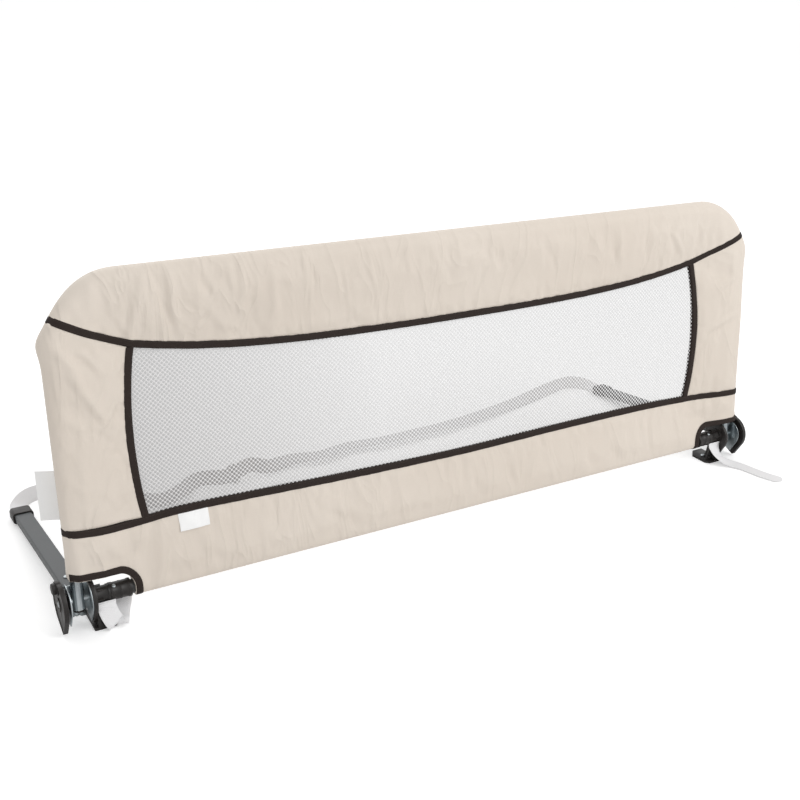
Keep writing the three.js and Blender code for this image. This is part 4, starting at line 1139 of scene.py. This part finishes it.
# Feet: black mouldings that stand on the floor, with a rib up to the socket and a screw
foot_setback = 0.013
foot_drop = 0.030
foot_width = 0.034
foot_half_length = 0.0245
foot_thickness = 0.004
foot_corner = 0.0015
foot_cut = foot_width / 3
foot_inner = inner_cover_outer - foot_width
foot_corners = (
    (foot_inner, -foot_half_length + foot_cut / 2), (foot_inner + foot_cut / 2, -foot_half_length),
    (inner_cover_outer, -foot_half_length), (inner_cover_outer, foot_half_length),
    (foot_inner + foot_cut, foot_half_length), (foot_inner, foot_half_length - foot_cut),
)
socket_side = inner_cover_inner - gap
rib_thickness = 0.007
rib_sole = -0.0275
sole_heights = (-0.029, -0.026)
gusset_reach = 0.020
gusset_root = 0.006
gusset_depths = (-0.001, 0.002)
to_floor = Matrix.Translation((0, foot_setback, -foot_drop)) @ Matrix.Rotation(lean, 4, "X")
for side, name in both_sides:
    posts = []
    for x, y in foot_corners:
        x -= math.copysign(foot_corner, x - (foot_inner + foot_width / 2))
        y -= math.copysign(foot_corner, y)
        posts.append(cylinder("post", (side * x, y, 0), (side * x, y, foot_thickness), foot_corner, 16))
    piece = wrap("foot_moulding_" + name, posts)
    piece.data.transform(to_floor)
    reach = (socket_side - rib_thickness, socket_side)
    x0, x1 = sided(side, *reach)
    low = cylinder("low", (x0, 0, rib_sole), (x1, 0, rib_sole), 0.0005, 12)
    wide = box("wide", side, reach, (-0.012, 0.016), sole_heights)
    narrow = box("narrow", side, reach, (-0.0075, 0.0075), (0.0, 0.004))
    add(piece, wrap("rib", [low, wide, narrow]))
    reach = (socket_side - gusset_reach, socket_side - gusset_root)
    wide = box("wide", side, reach, gusset_depths, sole_heights)
    reach = (socket_side - 0.008, socket_side - gusset_root)
    narrow = box("narrow", side, reach, gusset_depths, (-0.004, 0.0))
    add(piece, wrap("gusset", [wide, narrow]))
    room = axle("room", side, socket_inner - overrun, socket_side + overrun, socket_radius + 0.0011)
    cut(piece, room)
    soften(piece, 0.0006, 2)
    finish_moulding(piece, "foot_" + name)

# Legs: flat-oval steel tube, powder-coated dark grey, under a black cap that the webbing enters
leg_end = 0.338
leg_corner = 0.0024
leg_wall = 0.0015
leg_mouth = 0.012
cap_length = 0.027
cap_wall = 0.003
cap_half_height = 0.009
cap_corner = 0.0052
cap_room_corner = 0.0032
cap_end = leg_end + 0.003
slot_half_height = 0.0013
slot_margin = 0.004
grey_paint = surface(
    "dark grey powder coat", 1100.0,
    ((0.050, 0.055, 0.058, 1), (0.069, 0.075, 0.078, 1), (0.17, 0.18, 0.19, 1)), (0.38, 0.50), 0.00010,
)
for side, name in both_sides:
    piece = box(
        "leg_" + name, side, (leg_near, leg_far), (web_setback + plate + gap, leg_end),
        (leg_middle - leg_height / 2, leg_middle + leg_height / 2),
    )
    step_in(piece, lambda normal: normal.y < -0.9, (leg_wall,), (0, leg_mouth, 0))
    round_long_edges(
        piece, leg_corner, 6,
        lambda middle: abs(abs(abs(middle.x) - hinge_centre) - leg_width / 2) < nearly,
    )
    smooth(piece, 30)
    finish_piece(piece, grey_paint, "base", "grey_paint", "leg_tube_" + name)

    piece = box(
        "leg_end_cap_" + name, side, (leg_near - cap_wall, leg_far + cap_wall),
        (cap_end - cap_length, cap_end), (leg_middle - cap_half_height, leg_middle + cap_half_height),
    )
    round_long_edges(piece, cap_corner, 8)
    room = box(
        "room", side, (leg_near - gap, leg_far + gap), (cap_end - cap_length - overrun, leg_end + gap),
        (leg_middle - leg_height / 2 - gap, leg_middle + leg_height / 2 + gap),
    )
    round_long_edges(room, cap_room_corner, 6)
    cut(piece, room)
    cut(piece, box(
        "mouth", side, (leg_near - gap, leg_far + gap), (leg_end - slot_margin, cap_end + slot_margin),
        (leg_middle - slot_half_height, leg_middle + slot_half_height),
    ))
    soften(piece, 0.0009)
    finish_moulding(piece, "leg_cap_" + name)

# Webbing: white woven straps. One ties the ends of the legs together across the bed. The other two
# are sewn round the sleeves; the right one lies loose on the floor and the left one loops back.
webbing_width = 0.025
webbing_thickness = 0.0014
webbing_profile = [(-1, 0.4), (-0.96, 1), (-0.5, 1), (0, 1), (0.5, 1), (0.96, 1), (1, 0.4)]
webbing_profile += [(a, -b) for a, b in reversed(webbing_profile)]


def floor_height(y):
    """Height of the floor under the leant rail."""
    return (y - foot_setback) * math.tan(lean) - foot_drop


def spline(points, steps):
    """A smooth curve through points, with the same number of steps between each two."""
    ends = [points[0] * 2 - points[1], *points, points[-1] * 2 - points[-2]]
    curve = []
    for i in range(1, len(ends) - 2):
        a, b, c, d = ends[i - 1 : i + 3]
        for k in range(steps):
            t = k / steps
            curve.append(
                (b * 2 + (c - a) * t + (a * 2 - b * 5 + c * 4 - d) * t**2
                 + (b * 3 - a - c * 3 + d) * t**3) / 2
            )
    return [*curve, points[-1]]


webbing, tree, shader = new_material("white webbing", {"Roughness": 0.72, "Specular IOR Level": 0.3})
place = place_on(tree, "webbing")
threads = effect(tree, weave, Vector=stretched(tree, place, (1, 0.45, 1)), Pitch=0.0011)
rows = effect(
    tree, stitches, Vector=place, Row=webbing_width * 0.44, Pitch=0.0016, Thread=0.0005,
)["Mask"]
colour = mixed(tree, threads["Thread"], (0.84, 0.835, 0.845, 1), (0.90, 0.895, 0.90, 1))
# Painted shade: the hollows between the threads are painted darker grey.
colour = mixed(tree, ranged(tree, threads["Height"], 0.0, 0.5, 0.2, 0.0), colour, (0.68, 0.67, 0.68, 1))
tree.links.new(mixed(tree, rows, colour, (0.84, 0.84, 0.84, 1)), shader.inputs["Base Color"])
normal = bumped(tree, threads["Height"], 0.7, 0.00035)
normal = bumped(tree, noise_of(tree, place, 90.0), 0.3, 0.0012, normal)
tree.links.new(normal, shader.inputs["Normal"])


def strap(name, node, places, widths, steps=8, round_end=False):
    """Flat webbing along a curve, with the direction of its width at each of its places."""
    middle = spline([Vector(place) for place in places], steps)
    across = spline([Vector(width) for width in widths], steps)
    points = []
    lengths = [0.0]
    for i, centre in enumerate(middle):
        along = middle[min(i + 1, len(middle) - 1)] - middle[max(i - 1, 0)]
        thick = across[i].cross(along).normalized()
        wide = along.cross(thick).normalized()
        reach = webbing_width / 2
        if round_end:
            short = max(1 - (middle[-1] - centre).length / reach, 0)
            reach *= math.sqrt(max(1 - short**2.4, 0.04))
        for a, b in webbing_profile:
            points.append(centre + wide * (a * reach) + thick * (b * webbing_thickness / 2))
        if i:
            lengths.append(lengths[-1] + (centre - middle[i - 1]).length)
    count = len(webbing_profile)

    def place(i):
        ring, spot = divmod(i, count)
        return lengths[ring], webbing_profile[spot][0] * webbing_width / 2

    piece = mesh_piece(name, points, band_faces(len(middle), count), "webbing", place)
    face_outwards(piece)
    smooth(piece, 40)
    finish_piece(piece, webbing, "base", "webbing", node)


# Route of the strap between the legs, from the left cap to the right one: X as a share of the
# distance to a leg, Y as a share of the leg's reach, and the turn of its width from flat
leg_strap_shares = (
    (-0.995, 1.08, 0.36), (-0.962, 1.125, 0.8), (-0.91, 1.14, 0.98), (-0.846, 1.09, 1),
    (-0.757, 0.955, 0.7), (-0.664, 0.81, 0.45), (-0.593, 0.84, 0.4), (-0.516, 0.925, 0.6),
    (-0.437, 0.885, 0.72), (-0.353, 0.955, 0.72), (-0.303, 0.905, 0.55), (-0.215, 0.945, 0.3),
    (-0.129, 0.92, 0.16), (-0.019, 0.96, 0.12), (0.079, 0.935, 0.12), (0.215, 0.945, 0.12),
    (0.329, 0.955, 0.15), (0.514, 1.01, 0.2), (0.688, 1.075, 0.4), (0.826, 1.13, 0.7),
    (0.92, 1.155, 0.9), (0.974, 1.125, 0.67), (0.997, 1.075, 0.36),
)
strap_entry = leg_end + 0.0006
strap_mouth = cap_end + 0.006
floor_clearance = 0.0009
slide_lift = 0.0025
slide_place = 10.25
slide_spread = 3
route = [(Vector((-hinge_centre, y, leg_middle)), 0) for y in (strap_entry, strap_mouth)]
for i, (x_share, y_share, turn_share) in enumerate(leg_strap_shares, start=len(route)):
    turn = turn_share * math.pi / 2
    y = y_share * leg_end
    lift = (webbing_width * math.sin(turn) + webbing_thickness * math.cos(turn)) / 2
    near_slot = max(0, 1 - turn_share / leg_strap_shares[1][2])
    hang = (leg_middle - floor_height(y) - lift) * near_slot
    rise = floor_clearance + slide_lift * max(0, 1 - (abs(i - slide_place) / slide_spread) ** 2)
    route.append((Vector((x_share * hinge_centre, y, floor_height(y) + lift + rise + hang)), turn))
route += [(Vector((hinge_centre, y, leg_middle)), 0) for y in (strap_mouth, strap_entry)]
places = [place for place, turn in route]
widths = []
for i, (place, turn) in enumerate(route):
    along = places[min(i + 1, len(places) - 1)] - places[max(i - 1, 0)]
    level = Vector((0, 0, 1)).cross(along).normalized()
    up = along.cross(level).normalized()
    widths.append(level * math.cos(turn) + up * math.sin(turn))
strap(
    "strap_between_legs", "leg_strap", places, widths,
)

# Routes of the hinge straps, from where they leave the sleeve: X in widths of the webbing from the
# inner cover, Y and Z in drops of the foot, and on the floor the height in thicknesses
wrap_radius = 0.0122 + 0.00085 + webbing_thickness / 2
wrap_middle = inner_cover_inner - webbing_width / 2 - 3 * gap
start = [
    (wrap_middle, -wrap_radius * math.cos(turn), pivot_height + wrap_radius * math.sin(turn))
    for turn in (-0.55, -0.75)
]
loose_hang = ((-0.54, -0.37, -0.15), (-0.54, -0.58, -0.45), (-0.3, -0.86, -0.78))
loose_floor = (
    (0.2, -1.15, 3.2), (0.6, -1.6, 1.6), (0.82, -2.2, 1.2), (0.96, -2.8, 1.2), (1.18, -3.4, 1.2),
    (1.56, -4.05, 1.2),
)
loop_hang = (
    (-0.54, -0.37, -0.1), (-0.61, -0.50, -0.38), (-0.74, -0.60, -0.66), (-0.88, -0.63, -0.84),
    (-1.02, -0.52, -0.88), (-1.14, -0.34, -0.78), (-1.28, -0.06, -0.68), (-1.42, 0.2, -0.54),
    (-1.58, 0.39, -0.36), (-1.66, 0.48, -0.12), (-1.68, 0.51, 0.12), (-1.68, 0.49, 0.28),
)
loose_widths = (
    (1, 0, 0), (1, 0, 0), (1, 0.1, 0), (0.92, 0.38, 0), (0.80, 0.58, 0.04), (0.84, 0.5, 0.08),
    (0.95, 0.25, 0.04), (1, 0.05, 0), (1, 0, 0), (1, 0, 0), (1, 0, 0),
)


def hanging(shares):
    """Places of a hinge strap in the air, from shares of its width and of the foot's depth."""
    return [(inner_cover_inner + x * webbing_width, y * foot_drop, z * foot_drop) for x, y, z in shares]


def lying(shares):
    """Places of a hinge strap on the floor, with its height in thicknesses of the webbing."""
    spots = []
    for x, y, lift in shares:
        z = floor_height(y * foot_drop) + lift * webbing_thickness
        spots.append((inner_cover_inner + x * webbing_width, y * foot_drop, z))
    return spots


right_route = [*start, *hanging(loose_hang), *lying(loose_floor)]
left_route = [*start, *hanging(loop_hang)]
loop_widths = [(1, 0, 0)] * len(left_route)
hinge_straps = (
    (-1, "left", left_route, loop_widths, False), (1, "right", right_route, loose_widths, True),
)
for side, name, way, turns, rounded in hinge_straps:
    strap(
        "hinge_webbing_" + name, "hinge_strap_" + name, [(side * x, y, z) for x, y, z in way], turns,
        10, rounded,
    )

# Labels: bare white satin, each sewn into a seam. The small one shows under the lower tape, and
# the large one hangs from the back of the panel's left side.
label_thickness = 0.0004
label_cloth, tree, shader = new_material("white satin label", {"Roughness": 0.55})
place = place_on(tree, "label")
threads = effect(tree, weave, Vector=place, Pitch=0.0004)
rows = effect(tree, stitches, Vector=place, Row=0.0012, Pitch=0.0022)["Mask"]
colour = mixed(tree, threads["Thread"], (0.91, 0.91, 0.905, 1), (0.95, 0.95, 0.945, 1))
tree.links.new(mixed(tree, rows, colour, (0.62, 0.61, 0.60, 1)), shader.inputs["Base Color"])
normal = bumped(tree, threads["Height"], 0.4, 0.0001)
normal = bumped(tree, noise_of(tree, place, 55.0), 0.35, 0.001, normal)
tree.links.new(normal, shader.inputs["Normal"])


def label(name, flat, steps, held_by, place):
    """A label with its flat size, from the place of each step along it and down from its seam."""
    rows = steps[1] + 1
    columns = steps[0] + 1
    points = [place(c / steps[0], r / steps[1]) for r in range(rows) for c in range(columns)]

    def on_cloth(i):
        r, c = divmod(i, columns)
        return flat[0] * c / steps[0], flat[1] * r / steps[1]

    piece = mesh_piece(name, points, grid_faces(rows, columns), "label", on_cloth)
    apply_modifier(piece, "SOLIDIFY", thickness=label_thickness, offset=0)
    smooth(piece, 40)
    finish_piece(piece, label_cloth, "panel", "label", name.replace("satin", "label"))


def fabric_front(pad, x, z):
    """Depth of the front of a finished pad at a place."""
    start = upright_to_frame @ Vector((x, -0.1, z))
    hit, place, normal, face = pad.ray_cast(start, upright_to_frame.to_3x3() @ Vector((0, 1, 0)))
    return (upright_to_frame.inverted() @ place).y if hit else -half_depth(x, z)


front_flat = (0.042, 0.024)
front_left = -0.4409
front_tuck = 0.0035


def front_place(along, down):
    """A place on the front label, which stands off the fabric more at its foot."""
    x = front_left + front_flat[0] * along
    z = lower_tape(x) - front_tuck - front_flat[1] * down
    off = 0.0006 + 0.0009 * down**2 + 0.0005 * math.sin(along * math.pi * 1.5) * down
    return x, fabric_front(bottom_pad, x, z) - off, z


back_flat = (0.067, 0.049)
back_foot = 0.115
back_seam = (-0.5645, 0.0142)
back_turn = math.radians(30)


def back_place(up, out):
    """A place on the back label, which hangs away from the panel at an angle."""
    reach = back_flat[1] * out
    off = 0.0012 * math.sin(out * 4.2 + up * 1.5) * out
    x = back_seam[0] - reach * math.cos(back_turn) + off * math.sin(back_turn)
    y = back_seam[1] + reach * math.sin(back_turn) + off * math.cos(back_turn)
    return x, y, back_foot + back_flat[0] * up


label("front_satin", front_flat, (24, 12), "padded_bottom", front_place)
label("back_satin", back_flat, (16, 18), "padded_left", back_place)

# Tubes, bolts and rivets: the frame's own pieces, whose shapes are right. The tubes are steel,
# powder-coated black, except for the plated ends that fold down into the hinges.
black_paint = surface(
    "black powder coat", 1100.0,
    ((0.018, 0.0175, 0.018, 1), (0.028, 0.0275, 0.028, 1), (0.13, 0.13, 0.135, 1)), (0.34, 0.46), 0.00010,
)
white_plastic = surface(
    "white moulded plastic", 1500.0,
    ((0.74, 0.74, 0.74, 1), (0.80, 0.80, 0.80, 1), (0.86, 0.86, 0.86, 1)), (0.35, 0.48), 0.00006,
)


def dress(material, *names):
    """Gives a better material to CAD nodes whose shape is right."""
    for name in names:
        for slot in bpy.data.objects[name].material_slots:
            slot.material = material


dress(black_paint, "corner_tube_left", "corner_tube_right", "top_tube", "cross_tube")
for side, name in both_sides:
    dress(zinc, "tube_spigot_" + name, "upright_end_" + name, "sleeve_rivet_" + name)
    dress(zinc, "bracket_rivet_" + name, "pivot_bolt_" + name, "pivot_nut_" + name)
    dress(zinc, "button_spring_" + name, "foot_screw_" + name, "leg_bolt_" + name)
    dress(black_plastic, "upright_plug_" + name)
dress(white_plastic, "strap_slide")

# Floor, backdrop and lamps of the studio
floor_size = 60
bpy.ops.object.select_all(action="DESELECT")
bpy.ops.mesh.primitive_plane_add(size=floor_size, location=(0, 0, 0))
floor = bpy.context.active_object
floor.name = "studio_floor"
floor_material, tree, shader = new_material(
    "white studio floor",
    {"Roughness": 0.9, "Specular IOR Level": 0.1, "Emission Color": (1, 1, 1, 1)},
)
speck = noise_of(tree, add_node(tree, "ShaderNodeTexCoord").outputs["Object"], 3.0, 3.0)
tree.links.new(mixed(tree, speck, (0.88, 0.88, 0.88, 1), (0.9, 0.9, 0.9, 1)), shader.inputs["Base Color"])
seen = add_node(tree, "ShaderNodeLightPath").outputs["Is Camera Ray"]
tree.links.new(maths(tree, "MULTIPLY", seen, 0.35), shader.inputs["Emission Strength"])
floor.data.materials.append(floor_material)

world = bpy.data.worlds.new("studio")
bpy.context.scene.world = world
world.use_nodes = True
tree = world.node_tree
paths = add_node(tree, "ShaderNodeLightPath").outputs
direct = maths(tree, "MAXIMUM", paths["Is Camera Ray"], paths["Is Glossy Ray"])
direct = maths(tree, "MAXIMUM", direct, paths["Is Transmission Ray"])
background = tree.nodes["Background"]
background.inputs["Color"].default_value = (1, 1, 1, 1)
tree.links.new(ranged(tree, direct, 0, 1, 0.72, 1.0), background.inputs["Strength"])
for name, place, watts in (("key", (1.4, -2.2, 2.4), 40), ("back_fill", (-0.3, 2.0, 2.2), 22)):
    lamp_data = bpy.data.lights.new(name, "AREA")
    lamp_data.energy = watts
    lamp_data.size = 2.0
    lamp = bpy.data.objects.new(name, lamp_data)
    bpy.context.scene.collection.objects.link(lamp)
    lamp.location = place
    lamp.rotation_euler = (Vector((0, 0, 0.2)) - lamp.location).to_track_quat("-Z", "Y").to_euler()
bpy.context.scene.view_settings.view_transform = "Standard"
